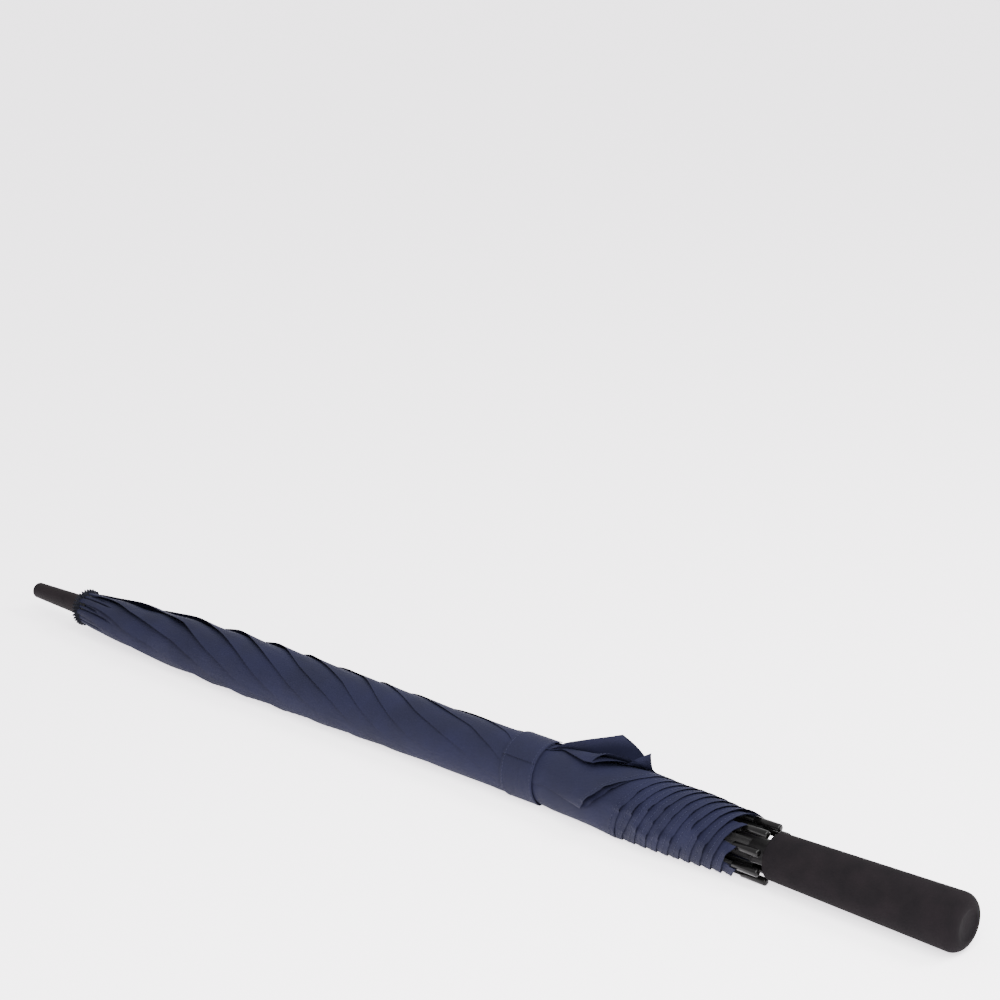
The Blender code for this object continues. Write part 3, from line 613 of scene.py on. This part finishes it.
def thread_end(p, corner=CORNER_A):
    """How far from the notch the thread at share p across the half gore meets the hem."""
    low, high = np.full_like(p, 0.3), np.full_like(p, CLOTH_BOTTOM)
    for _ in range(40):
        mid = (low + high) / 2
        share = np.clip(HALF_WIDTH_PER_LENGTH * mid * p / FULL_WRAP, 0.0, 1.0)
        past = mid > hem_at(share, corner)
        high, low = np.where(past, mid, high), np.where(past, low, mid)
    return (low + high) / 2


SHARES = np.linspace(0.0, 1.0, 400)
HEMS = hem_at(SHARES, CORNER_A)


def widest_wrap(a):
    """How far round the outermost cloth reaches at a distance from the notch."""
    hem_wrap = np.interp(a, HEMS[::-1], SHARES[::-1]) * FULL_WRAP
    return np.where(a < CORNER_A, HALF_WIDTH_PER_LENGTH * np.maximum(a, 0.0), hem_wrap)


# %% Waves that never repeat
rng = np.random.default_rng(7)


def ripples(count, lowest, highest):
    """A smooth random function of one variable, between about -1 and 1."""
    rates = rng.uniform(lowest, highest, count)
    phases = rng.uniform(0, 2 * pi, count)
    return lambda x: sum(np.sin(r * x + f) for r, f in zip(rates, phases)) / np.sqrt(count)


bundle_along = ripples(4, 12, 40)
bundle_round = ripples(3, 1.0, 2.6)
edge_wander = [ripples(3, 20, 60) for _ in range(SPOKES)]
edge_lift = [ripples(3, 40, 150) for _ in range(SPOKES)]
hem_wave = [ripples(4, 5.0, 14.0) for _ in range(SPOKES)]

# %% [markdown]
# ### Where each part of a flap lies
# `place_cloth` turns a place on the cut (which flap, which layer, how far across, how far along)
# into a point. The layers lie on each other like the turns of a spiral. Folded edges and hems stand
# up a little, most at the top and least where the roll is pressed to the ground. The loose corners
# of four flaps stand out between the strap and the hems: two lie open like pockets, and two stand
# up. A hand's winding is never even, so each folded edge drifts by a few degrees on its way.

# %% Places where the winding drifts, and the loose corners
LAYER_GAP = 0.20 * MM
EDGE_LIFT = 0.85 * MM
HEM_LIFT = 0.12 * MM
SLIT_LIFT = 2.4 * MM
LIP_STEP = 3.2 * MM  # how far a pocket's inner lip shows past its outer one
EDGE_FADE = 5.0 * MM  # how fast a folded edge settles onto the roll
SLIT_DEPTH = 4.5 * MM  # how fast a gaping hem closes behind its edge
POCKET_DEPTH = 14 * MM
LIP_DEPTH = 6 * MM
RELEASED = (0.535, 0.562)  # where the strap lets the folded edges go
TURN_FROM = 0.555  # where the loose corners begin to turn
RISE_FROM = 0.556  # where they begin to stand up
LIP_FROM = 0.563  # where the pockets begin to open
SLITS_FROM = (0.58, 0.62)  # where the hems begin to gape
FLOOR_GAP = 0.25 * MM
START_TURN = radians(19.5)  # where the flaps leave the ribs
DRIFT = (  # distance from the notch, degrees
    (0.000, 0.0),
    (0.070, 4.0),
    (0.140, -13.0),
    (0.200, -4.0),
    (0.247, 2.0),
    (0.290, 6.0),
    (0.340, 2.0),
    (0.380, 10.0),
    (0.425, 12.0),
    (0.480, -4.0),
    (0.530, 0.0),
    (0.750, 0.0),
)


class Corner:
    """A flap's loose corner: its place, its turn at the strap and at the corner, how it stands."""

    def __init__(
        self, a, turns=(0, 0), stand=0.0, rise_from=RISE_FROM, lip=0.6, pocket=0.4, spread=16
    ):
        self.a = a
        self.at_strap, self.at_corner = radians(turns[0]), radians(turns[1])
        self.stand, self.rise_from = stand * MM, rise_from
        self.lip, self.pocket, self.spread = lip * MM, pocket * MM, spread * MM


CORNERS = {
    0: Corner(0.607, (-14, 0), lip=6.0, pocket=3.6),
    7: Corner(0.596, (-44, -32), lip=8.0, pocket=4.0, spread=45),
    6: Corner(0.612, (0, 19), stand=20.0, lip=0.6, pocket=3.5),
    5: Corner(0.642, (0, 42), stand=12.5, rise_from=0.624, lip=0.5, pocket=2.0),
    1: Corner(0.628, (30, 62)),
    2: Corner(0.628, (15, 40)),
}
QUIET = Corner(0.628)
PLEATS = {  # from a, to a, distance from the folded edge
    6: (0.060, 0.165, 16.5 * MM),
    7: (0.370, 0.510, 15.5 * MM),
}
PLEAT_STEP = 0.85 * MM
CREASE_DEPTH = 1.9 * MM
CREASES = (  # degrees round, length, turn by the end in degrees, share of the depth
    (68, 0.040, 22, 1.0),
    (97, 0.034, 16, 1.1),
    (118, 0.046, 12, 1.3),
    (146, 0.030, 14, 1.0),
    (163, 0.052, 10, 1.3),
    (188, 0.026, 8, 0.8),
    (212, 0.034, 8, 0.8),
    (20, 0.040, 20, 1.0),
    (330, 0.030, 16, 1.0),
    (290, 0.036, 12, 0.9),
    (252, 0.030, 12, 0.8),
)


def round_gap(angle, other):
    return np.mod(angle - other + pi, 2 * pi) - pi


def looseness(angle):
    """One at the top and back of the roll, small where it is pressed to the ground."""
    return 0.12 + 0.88 * np.clip(np.cos(round_gap(angle, radians(75)) / 1.4), 0, 1) ** 1.3


def creased(radius, angle, a):
    """Sharp creases that radiate from the gathered top."""
    for place, length, turn, depth in CREASES:
        path = radians(place) + radians(turn) * np.clip(a / length, 0, 1) ** 2
        across = round_gap(angle, path) * radius
        fade = ramp(length, length * 0.6, a) * ramp(-0.006, -0.002, a)
        cut = np.exp(-((across / (0.6 * MM)) ** 2)) + 0.25 * np.exp(-((across / (2.2 * MM)) ** 2))
        radius = radius - CREASE_DEPTH * depth * cut * fade
    return radius


def slit_zone(angle):
    """One at the middle of the roll's front, where the hems gape."""
    return np.exp(-((round_gap(angle, radians(166)) / radians(36)) ** 2))


def place_cloth(flap, layer, p, a):
    """Points of a flap: layer is 0 outside and 1 inside, p the share across, a how far along."""
    corner = CORNERS.get(flap, QUIET)
    r_in, r_out = inside(a), outside(a)
    wrap = HALF_WIDTH_PER_LENGTH * np.maximum(a, 0.0) * p
    from_edge = (1 - p) * HALF_WIDTH_PER_LENGTH * np.maximum(a, 0.0)
    end = thread_end(p, corner.a)
    from_hem = np.maximum(end - a, 0.0)

    turn = wrap / r_out
    least = radians(54) * p
    turn = (turn**4 + least**4) ** 0.25
    angle = rib_angle(flap) + START_TURN * (1 - ramp(0.66, CLOTH_BOTTOM - 4 * MM, a)) + turn
    free = 1 - strap_grip(a)
    angle = angle + np.radians(np.interp(a, *np.array(DRIFT).T)) * ramp(0.3, 0.8, p)
    wander = radians(2.0) * edge_wander[flap](a) * ramp(0.80, 1.0, p) * free
    angle = angle + wander * ramp(0.02, 0.08, a)
    near = ramp(1 - CORNER_TURN, 1.0, p)
    past_strap = np.clip((a - TURN_FROM) / (corner.a - TURN_FROM), 0.0, 1.0)
    shift = corner.at_strap + (corner.at_corner - corner.at_strap) * past_strap
    angle = angle + shift * near * ramp(*RELEASED, a)

    widest = np.maximum(widest_wrap(a), 1.0 * MM)
    share = np.clip(np.where(a < CORNER_A, p, wrap / widest), 0.0, 1.0)
    radius = r_in + (r_out - r_in) * share
    loose = looseness(angle) * free
    wave = 0.75 + 0.25 * edge_lift[flap](a)
    lift = EDGE_LIFT * wave * np.exp(-from_edge / EDGE_FADE) * ramp(0.03, 0.10, a)
    if flap in PLEATS:
        first, last, place = PLEATS[flap]
        step = ramp(place - 0.5 * MM, place + 0.3 * MM, from_edge)
        step = step * np.exp(-(from_edge - place) / (6 * MM))
        lift = lift + PLEAT_STEP * step * ramp(first, first + 0.02, a) * ramp(last, last - 0.04, a)
    lift = lift * (1 - ramp(corner.a - 0.012, corner.a + 0.01, a))

    slit = slit_zone(angle) * np.clip(2.4 * hem_wave[flap](turn) - 0.25, 0.0, 1.0)
    gape = HEM_LIFT * loose + SLIT_LIFT * slit
    gape = gape * np.exp(-from_hem / SLIT_DEPTH) * ramp(*SLITS_FROM, a)
    lip_shape = np.sin(pi * np.clip((p - 1 + CORNER_TURN) / CORNER_TURN, 0, 1) ** 1.5) ** 0.7
    lip_shape = lip_shape + 0.35 * ramp(0.93, 1.0, p)
    bulge = lip_shape * ramp(LIP_FROM, corner.a, a) * np.exp(-from_hem / corner.spread)
    radius = radius + loose * lift + gape + corner.lip * bulge

    if corner.stand:
        risen = (a - corner.rise_from) / (corner.a - corner.rise_from)
        tall = corner.stand * np.clip(risen, 0.0, 1.3)
        reach = tall - from_edge
        up = (np.sqrt(reach * reach + (1.2 * MM) ** 2) + reach) / 2 * np.clip(tall / (4 * MM), 0, 1)
        angle = angle - up / r_out
        radius = radius + up
    apart = LAYER_GAP * (1 - np.exp(-from_edge / (0.6 * MM)))
    opening = corner.pocket * lip_shape * (1 - np.exp(-from_edge / (2.5 * MM)))
    opening = opening * np.exp(-from_hem / POCKET_DEPTH) * ramp(LIP_FROM, corner.a, a)
    if corner.stand:
        angle = angle + layer * opening / radius
    else:
        radius = radius - layer * opening
        shown = LIP_STEP * lip_shape * np.exp(-from_hem / LIP_DEPTH) * corner.pocket / (3 * MM)
        a = a + layer * shown
    radius = radius - layer * apart
    swell = 0.40 * MM * bundle_along(a * 3) * bundle_round(angle) * ramp(0.0, 0.1, a)
    radius = creased(radius + swell * free, angle, a)
    return to_points(a, angle, keep_above_floor(radius, angle, r_in, np.maximum(r_out, radius)))


def keep_above_floor(radius, angle, r_in, r_out):
    """Squeezes the layers between the ribs and the ground where the roll lies on it."""
    fall = np.maximum(-np.sin(angle), 1e-3)
    room = (AXIS_Z - FLOOR_GAP) / fall
    inner = np.minimum(r_in, room - 1.2 * MM)
    squeezed = inner + (radius - r_in) * (room - inner) / np.maximum(r_out - r_in, 1e-5)
    return np.where(r_out > room, np.minimum(squeezed, room), radius)


def to_points(a, angle, radius):
    return np.stack([NOTCH_X + a, radius * np.cos(angle), AXIS_Z + radius * np.sin(angle)], axis=-1)


# %% Sheets from grids of points
def grid_mesh(name, points, uvs):
    """A quad mesh from an array of rows of points, with a UV map in metres."""
    rows, columns = points.shape[:2]
    index = np.arange(rows * columns).reshape(rows, columns)
    quads = np.stack([index[:-1, :-1], index[:-1, 1:], index[1:, 1:], index[1:, :-1]], axis=-1)
    mesh = bpy.data.meshes.new(name)
    mesh.from_pydata(points.reshape(-1, 3).tolist(), [], quads.reshape(-1, 4).tolist())
    layer = mesh.uv_layers.new(name="cloth")
    loops = np.empty(len(mesh.loops), np.int32)
    mesh.loops.foreach_get("vertex_index", loops)
    layer.data.foreach_set("uv", uvs.reshape(-1, 2)[loops].astype(np.float32).ravel())
    mesh.shade_smooth()
    return mesh


ROWS_ALONG = 150
HEM_ROWS = np.array([8.0, 7.0, 6.2, 5.6, 5.3, 4.0, 2.5, 1.2, 0.5, 0.15, 0.0]) * MM


def across_shares():
    """Steps across the flap, closer towards its folded edge."""
    parts = [(0.0, 0.5, 50), (0.5, 0.85, 50), (0.85, 0.985, 44)]
    steps = [np.linspace(low, high, count, endpoint=False) for low, high, count in parts]
    return np.concatenate([*steps, [0.985, 0.988, 0.991, 0.994, 0.997, 0.999, 1.0]])


def cloth_rows(end):
    """Distances along, for every share across: even rows, then close rows at the hem."""
    even = np.linspace(0.0, 1.0, ROWS_ALONG)[:, None] ** 1.1
    body = CLOTH_TOP + even * (end[None, :] - HEM_ROWS[0] - 1.0 * MM - CLOTH_TOP)
    return np.concatenate([body, end[None, :] - HEM_ROWS[:, None]], axis=0)


def hem_ridge(points, a, end, outwards):
    """Raises the doubled hem by the thickness of its folds."""
    depth = end - a
    raised = ramp(6.4 * MM, 5.4 * MM, depth) * ramp(-0.05 * MM, 0.5 * MM, depth + 0.1 * MM)
    centre = np.stack([points[..., 0], 0 * a, 0 * a + AXIS_Z], axis=-1)
    radial = points - centre
    radial /= np.linalg.norm(radial, axis=-1, keepdims=True)
    return points + outwards * 0.2 * MM * raised[..., None] * radial


def rolled_gore(flap):
    """One gore, folded along its middle and wound round the ribs."""
    p = across_shares()
    end = thread_end(p, CORNERS.get(flap, QUIET).a)
    a = cloth_rows(end)
    shares = np.broadcast_to(p, a.shape)
    outer = hem_ridge(place_cloth(flap, 0, shares, a), a, end[None, :], 1.0)
    inner = hem_ridge(place_cloth(flap, 1, shares, a), a, end[None, :], -0.3)
    back = np.r_[np.arange(len(p) - 2, len(p) - 9, -1), np.arange(len(p) - 10, -1, -3)]
    points = np.concatenate([outer, inner[:, back]], axis=1)
    width = HALF_WIDTH_PER_LENGTH * np.maximum(a, 0.0) * shares
    u = np.concatenate([width, 2 * width[:, -1:] - width[:, back]], axis=1)
    v = np.concatenate([a, a[:, back]], axis=1)
    return grid_mesh(f"gore_{flap + 1}_rolled", points, np.stack([u, v], axis=-1))


rolled = []
for k in range(SPOKES):
    gore = add_piece(f"gore_{k + 1}_rolled", rolled_gore(k), CANOPY, "frame")
    rolled.append(gore)
print("rolled", len(rolled), "gores of", len(rolled[0].data.polygons), "faces")


# %% [markdown]
# ### Stitches along the hems
# A sewing machine makes the same stitch again and again along a line, which is what Geometry Nodes
# do well: the seam is resampled at the stitch length, a short bead of thread is put on every point
# and turned to the seam's direction, and the beads are made real.

# %% A node tree for a row of stitches
STITCH_SIZES = {"Stitch length": 3.0 * MM, "Bead length": 2.2 * MM, "Thickness": 0.35 * MM}


def stitch_tree():
    """Beads of thread along a curve, with their sizes and the thread's material as inputs."""
    tree = bpy.data.node_groups.new("stitch_row", "GeometryNodeTree")
    face = tree.interface
    face.new_socket("Seam", in_out="INPUT", socket_type="NodeSocketGeometry")
    for label, value in STITCH_SIZES.items():
        face.new_socket(label, in_out="INPUT", socket_type="NodeSocketFloat").default_value = value
    face.new_socket("Thread", in_out="INPUT", socket_type="NodeSocketMaterial")
    face.new_socket("Stitches", in_out="OUTPUT", socket_type="NodeSocketGeometry")
    given = add(tree, "NodeGroupInput")
    points = add(
        tree,
        "GeometryNodeCurveToPoints",
        {"mode": "LENGTH"},
        links={"Curve": given.outputs["Seam"], "Length": given.outputs["Stitch length"]},
    )
    bead = add(tree, "GeometryNodeMeshUVSphere", values={"Segments": 6, "Rings": 4, "Radius": 0.5})
    size = add(
        tree,
        "ShaderNodeCombineXYZ",
        links={
            "X": given.outputs["Thickness"],
            "Y": given.outputs["Thickness"],
            "Z": given.outputs["Bead length"],
        },
    )
    put = add(
        tree,
        "GeometryNodeInstanceOnPoints",
        links={
            "Points": points.outputs["Points"],
            "Instance": bead.outputs["Mesh"],
            "Rotation": points.outputs["Rotation"],
            "Scale": size.outputs["Vector"],
        },
    )
    real = add(tree, "GeometryNodeRealizeInstances", links={"Geometry": put.outputs["Instances"]})
    thread = add(
        tree,
        "GeometryNodeSetMaterial",
        links={"Geometry": real.outputs["Geometry"], "Material": given.outputs["Thread"]},
    )
    add(tree, "NodeGroupOutput", links={"Stitches": thread.outputs["Geometry"]})
    return tree


def through_nodes(name, source, tree, values):
    """The plain mesh that a node tree makes from an object, with its inputs set by name."""
    modifier = source.modifiers.new("nodes", "NODES")
    modifier.node_group = tree
    for item in tree.interface.items_tree:
        if item.item_type == "SOCKET" and item.in_out == "INPUT" and item.name in values:
            modifier[item.identifier] = values[item.name]
    bpy.context.view_layer.update()
    graph = bpy.context.evaluated_depsgraph_get()
    made = bpy.data.meshes.new_from_object(source.evaluated_get(graph))
    made.name = name
    source.modifiers.remove(modifier)
    bpy.data.objects.remove(source, do_unlink=True)
    return made


def seam_object(runs):
    """A curve object with one polyline for each run of points."""
    curve = bpy.data.curves.new("seam", "CURVE")
    curve.dimensions = "3D"
    for run in runs:
        line = curve.splines.new("POLY")
        line.points.add(len(run) - 1)
        line.points.foreach_set("co", np.c_[run, np.ones(len(run))].astype(np.float32).ravel())
    obj = bpy.data.objects.new("seam", curve)
    bpy.context.scene.collection.objects.link(obj)
    return obj


STITCHES = stitch_tree()


def stitched(name, runs, body):
    """A piece with a bead of thread for every stitch along the runs of points."""
    values = {**STITCH_SIZES, "Thread": THREAD_NAVY}
    mesh = through_nodes(name, seam_object(runs), STITCHES, values)
    mesh.shade_smooth()
    return add_piece(name, mesh, THREAD_NAVY, body)


# %% Hem stitches
SEAM_DEPTH = 4.4 * MM


def hem_seam(flap):
    """The line of stitches on the outer layer of a flap's hem."""
    p = np.linspace(0.02, 0.985, 300)
    end = thread_end(p, CORNERS.get(flap, QUIET).a)[None, :]
    a = end - SEAM_DEPTH
    return hem_ridge(place_cloth(flap, 0, p[None, :], a), a, end, 2.0)[0]


hem_stitches = []
for k in range(SPOKES):
    hem_stitches.append(stitched(f"hem_stitches_{k + 1}", [hem_seam(k)], "frame"))
print("stitched", SPOKES, "hems")

# %% [markdown]
# ## The pinked ruffle at the top
# The gores meet under the ferrule, where their tops are gathered on a thread. The raw edge is cut
# with pinking shears, so it stands up as a frill of small teeth. One tooth is a pointed leaf, as
# thick as the gathered cloth, and a node tree puts it round a ring, each with its own small lean.

# %% Ruffle
RUFFLE_X = span("rosette", 0)[1] + 0.2 * MM
RUFFLE_R = 14.0 * MM
TEETH = 34
LEAN = 0.4


def tooth_mesh():
    """A pointed leaf of cloth, root at the origin, standing along -X and out along Z."""
    bm = bmesh.new()
    outline = [(-1.0, -1.6), (1.0, -1.6), (1.2, 1.0), (0.9, 2.4)]
    outline += [(0.0, 3.2), (-0.9, 2.4), (-1.2, 1.0)]
    front = [bm.verts.new((-0.55 * z * MM, y * MM, z * MM)) for y, z in outline]
    back = [bm.verts.new((-0.55 * z * MM + 2.2 * MM, y * MM, 0.9 * z * MM)) for y, z in outline]
    bm.faces.new(front)
    bm.faces.new(reversed(back))
    for k in range(len(outline)):
        n = (k + 1) % len(outline)
        bm.faces.new((front[n], front[k], back[k], back[n]))
    bmesh.ops.recalc_face_normals(bm, faces=bm.faces)
    mesh = bpy.data.meshes.new("tooth")
    bm.to_mesh(mesh)
    bm.free()
    return mesh


def ruffle_tree():
    """A leaf on every point of a ring, leaning at random about its own axis."""
    tree = bpy.data.node_groups.new("pinked_ruffle", "GeometryNodeTree")
    face = tree.interface
    face.new_socket("Leaf", in_out="INPUT", socket_type="NodeSocketGeometry")
    face.new_socket("Teeth", in_out="INPUT", socket_type="NodeSocketInt").default_value = TEETH
    for label, value in (("Radius", RUFFLE_R), ("Lean", LEAN)):
        face.new_socket(label, in_out="INPUT", socket_type="NodeSocketFloat").default_value = value
    face.new_socket("Cloth", in_out="INPUT", socket_type="NodeSocketMaterial")
    face.new_socket("Ruffle", in_out="OUTPUT", socket_type="NodeSocketGeometry")
    given = add(tree, "NodeGroupInput")
    points = add(tree, "GeometryNodePoints", links={"Count": given.outputs["Teeth"]})
    index = add(tree, "GeometryNodeInputIndex")
    turn = add(
        tree,
        "ShaderNodeMath",
        {"operation": "MULTIPLY"},
        {1: 2 * pi / TEETH},
        {0: index.outputs["Index"]},
    )
    along_y = add(tree, "ShaderNodeMath", {"operation": "COSINE"}, links={0: turn.outputs["Value"]})
    along_z = add(tree, "ShaderNodeMath", {"operation": "SINE"}, links={0: turn.outputs["Value"]})
    direction = add(
        tree,
        "ShaderNodeCombineXYZ",
        links={"Y": along_y.outputs["Value"], "Z": along_z.outputs["Value"]},
    )
    place = add(
        tree,
        "ShaderNodeVectorMath",
        {"operation": "SCALE"},
        links={0: direction.outputs["Vector"], "Scale": given.outputs["Radius"]},
    )
    ring = add(
        tree,
        "GeometryNodeSetPosition",
        links={"Geometry": points.outputs["Points"], "Position": place.outputs["Vector"]},
    )
    spin = add(tree, "ShaderNodeCombineXYZ", links={"X": quarter_less(tree, turn)})
    lean = add(
        tree,
        "FunctionNodeRandomValue",
        {"data_type": "FLOAT_VECTOR"},
        {0: (-0.15, -0.45, -0.9), 1: (0.15, 0.35, 0.9), "Seed": 5},
    )
    scaled = add(
        tree,
        "ShaderNodeVectorMath",
        {"operation": "SCALE"},
        links={0: lean.outputs[0], "Scale": given.outputs["Lean"]},
    )
    put = add(
        tree,
        "GeometryNodeInstanceOnPoints",
        links={
            "Points": ring.outputs["Geometry"],
            "Instance": given.outputs["Leaf"],
            "Rotation": spin.outputs["Vector"],
        },
    )
    leaned = add(
        tree,
        "GeometryNodeRotateInstances",
        links={"Instances": put.outputs["Instances"], "Rotation": scaled.outputs["Vector"]},
    )
    leaves = leaned.outputs["Instances"]
    real = add(tree, "GeometryNodeRealizeInstances", links={"Geometry": leaves})
    cloth = add(
        tree,
        "GeometryNodeSetMaterial",
        links={"Geometry": real.outputs["Geometry"], "Material": given.outputs["Cloth"]},
    )
    add(tree, "NodeGroupOutput", links={"Ruffle": cloth.outputs["Geometry"]})
    return tree


def quarter_less(tree, turn):
    """The turn less a quarter, because a leaf stands along Z before it is turned."""
    settings, values, links = {"operation": "SUBTRACT"}, {1: pi / 2}, {0: turn.outputs["Value"]}
    return add(tree, "ShaderNodeMath", settings, values, links).outputs["Value"]


leaf = bpy.data.objects.new("leaf", tooth_mesh())
bpy.context.scene.collection.objects.link(leaf)
# The ruffle's cloth is the darkened pongee, painted shade for its gathers.
ruffle_values = {"Teeth": TEETH, "Radius": RUFFLE_R, "Lean": LEAN, "Cloth": SHADED_RUFFLE_CLOTH}
ruffle_mesh = through_nodes("pinked_ruffle", leaf, ruffle_tree(), ruffle_values)
ruffle_mesh.transform(Matrix.Translation((RUFFLE_X, 0.0, AXIS_Z)))
ruffle = add_piece("pinked_ruffle", ruffle_mesh, SHADED_RUFFLE_CLOTH, "frame")


def gathered_collar():
    """The gathered tube of cloth from the ferrule out to the tops of the gores, pleated finely."""
    angles = np.linspace(0.0, 2 * pi, 193)
    pleats = np.sin(24 * angles + 0.6 * np.sin(5 * angles))
    base = span("rosette", 0)[0] + 3.0 * MM
    stations = [(0.0, 9.3, 0.1), (1.2, 9.8, 0.3), (2.6, 11.2, 0.6), (3.8, 12.8, 0.7)]
    stations += [(5.2, 13.6, 0.5), (6.6, 13.9, 0.2), (8.0, 13.9, 0.1)]
    rows = [
        to_points(np.full_like(angles, base + x * MM - NOTCH_X), angles, (r + d * pleats) * MM)
        for x, r, d in stations
    ]
    points = np.stack(rows)
    uvs = np.stack([points[..., 1], points[..., 0]], axis=-1)
    return mended(grid_mesh("gathered_collar", points, uvs), 0.01 * MM)


# The collar wears the same darkened pongee, painted shade for its pleats.
collar = add_piece("gathered_collar", gathered_collar(), SHADED_RUFFLE_CLOTH, "frame")
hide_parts("rosette")
print("ruffle of", TEETH, "teeth")


# %% [markdown]
# ## The tie strap
# A strap of the same cloth, doubled and edge-stitched, is sewn to one gore. It goes once round the
# roll, and its tab closes on itself with hook-and-loop tape. Strap, tab and pads are thin closed
# strips that follow the roll's outline and sway a little along it.

# %% Strips round the roll
STRAP_THICK = 0.6 * MM
PAD_THICK = 0.2 * MM
PAD_WIDTH = STRAP_WIDTH - 8 * MM


def strap_radius(angle):
    """The roll's outline under the strap, flattened at the ground."""
    bed = np.full_like(angle, STRAP_BED + 0.75 * MM)
    fall = np.maximum(-np.sin(angle), 1e-3)
    return np.minimum(bed, (AXIS_Z - STRAP_THICK - 0.1 * MM) / fall)


def strap_sway(angles):
    """How far the strap strays along the roll on its way round."""
    return 0.5 * MM * np.sin(2.1 * angles + 1.0)


def strip(name, start, end, low, thick, width, steps):
    """A closed strip round the roll from one angle to another, low above the cloth."""
    angles = np.linspace(start, end, steps)
    half = width / 2
    edge = [(0.0, 0.15), (0.3 * MM, 0.9), (1.6 * MM, 1.0), (2.6 * MM, 0.86)]
    section = [(-half + inset, rise) for inset, rise in edge]
    section += [(half - inset, rise) for inset, rise in reversed(edge)]
    section += [(half - 0.3 * MM, 0.0), (-half + 0.3 * MM, 0.0)]
    columns = []
    for across, rise in section:
        a = STRAP_A + across + strap_sway(angles)
        columns.append(to_points(a, angles, strap_radius(angles) + low + rise * thick))
    columns.append(columns[0])
    points = np.stack(columns, axis=1)
    length = angles * STRAP_BED
    u = np.array([c[0] for c in section] + [section[0][0]])
    uvs = np.stack(np.broadcast_arrays(u[None, :], length[:, None]), axis=-1)
    mesh = mended(grid_mesh(name, points, uvs), fill=True)
    smooth(mesh, 60)
    return mesh


STRAP_HOME = BODY_OF["strap_band"]
strap_start, strap_end = radians(82), radians(360 + 72)
tab_start, tab_end = radians(62), radians(142)
pad_start, pad_end = radians(88), radians(136)
strap = add_piece(
    "tie_strap",
    strip("tie_strap", strap_start, strap_end, 0.0, STRAP_THICK, STRAP_WIDTH, 180),
    CANOPY,
    STRAP_HOME,
)
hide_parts("strap_band")
pad_low = STRAP_THICK + 0.05 * MM
tab_low = pad_low + 2 * PAD_THICK
loop_pad = add_piece(
    "loop_pad",
    strip("loop_pad", pad_start, pad_end, pad_low, PAD_THICK, PAD_WIDTH, 40),
    HOOK_TAPE,
    STRAP_HOME,
)
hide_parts("strap_loop_pad")
hook_pad = add_piece(
    "hook_pad",
    strip("hook_pad", pad_start, pad_end, pad_low + PAD_THICK, PAD_THICK, PAD_WIDTH, 40),
    HOOK_TAPE,
    "strap_tab",
)
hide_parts("strap_hook_pad")
tab = add_piece(
    "strap_tab_cloth",
    strip("strap_tab_cloth", tab_start, tab_end, tab_low, STRAP_THICK, STRAP_WIDTH, 60),
    CANOPY,
    "strap_tab",
)
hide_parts("strap_tab")


def strap_seam(start, end, across, low):
    """A line of stitches round the roll, low above the cloth."""
    angles = np.linspace(start, end, 160)
    a = STRAP_A + across + strap_sway(angles)
    return to_points(a, angles, strap_radius(angles) + low)


edges = (-STRAP_WIDTH / 2 + 2.1 * MM, STRAP_WIDTH / 2 - 2.1 * MM)
seam_height = STRAP_THICK * 0.95
strap_seams = [strap_seam(strap_start, strap_end, e, seam_height) for e in edges]
tab_seams = [strap_seam(tab_start, tab_end, e, tab_low + seam_height) for e in edges]
strap_stitches = stitched("strap_stitches", strap_seams, STRAP_HOME)
tab_stitches = stitched("tab_stitches", tab_seams, "strap_tab")
print("strap goes", round(degrees(strap_end - strap_start)), "degrees round")

# %% [markdown]
# ## The open canopy
# Opened, the gores are eight shallow panels between the ribs. One panel lies folded up small inside
# the roll, just outside the ribs, as a narrow strip from one rib to the next.

# %% Panels between the ribs
PANEL_ACROSS = 33
PANEL_ALONG = 60
PANEL_OUT = 2.0 * MM
PANEL_TOP = 3.0 * MM  # clear of the notch's wire when the ribs stand out
PANEL_BOW = 0.034  # how far the hem between two ribs curves in
PANEL_FLARE = 0.75  # the flat panel's width for its length


def panel(index):
    """A narrow strip from one rib to the next, with the hem's curve at its end."""
    t = np.linspace(0.0, 1.0, PANEL_ACROSS)
    bow = 4 * t * (1 - t)
    end = TIP_START + 1.0 * MM - PANEL_BOW * bow
    along = np.linspace(0.0, 1.0, PANEL_ALONG)[:, None]
    a = PANEL_TOP + along * (end - PANEL_TOP)
    first, second = rib_angle(index), rib_angle(index + 1)
    radius = rib_radius(a) + PANEL_OUT
    corner_a = np.stack([radius * cos(first), radius * sin(first)], axis=-1)
    corner_b = np.stack([radius * cos(second), radius * sin(second)], axis=-1)
    flat = corner_a + (corner_b - corner_a) * t[None, :, None]
    points = np.stack([NOTCH_X + a, flat[..., 0], AXIS_Z + flat[..., 1]], axis=-1)
    width = PANEL_FLARE * np.maximum(a, 0.0) * (t[None, :] - 0.5)
    return grid_mesh(f"canopy_panel_{index + 1}", points, np.stack([width, a], axis=-1))


for k in range(SPOKES):
    obj = add_piece(f"canopy_panel_{k + 1}", panel(k), CANOPY, None)
    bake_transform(obj)
    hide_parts(f"gore_{k + 1}")

# %% [markdown]
# ## Own meshes for the wound cloth and the strap
# The wound cloth can't follow the ribs. Its gores and hem stitches, and the strap's pieces, are
# given meshes of their own.

# %% Meshes of their own
for obj in rolled + hem_stitches:
    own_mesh(obj)
for obj in (strap, tab, loop_pad, hook_pad, strap_stitches, tab_stitches):
    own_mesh(obj)
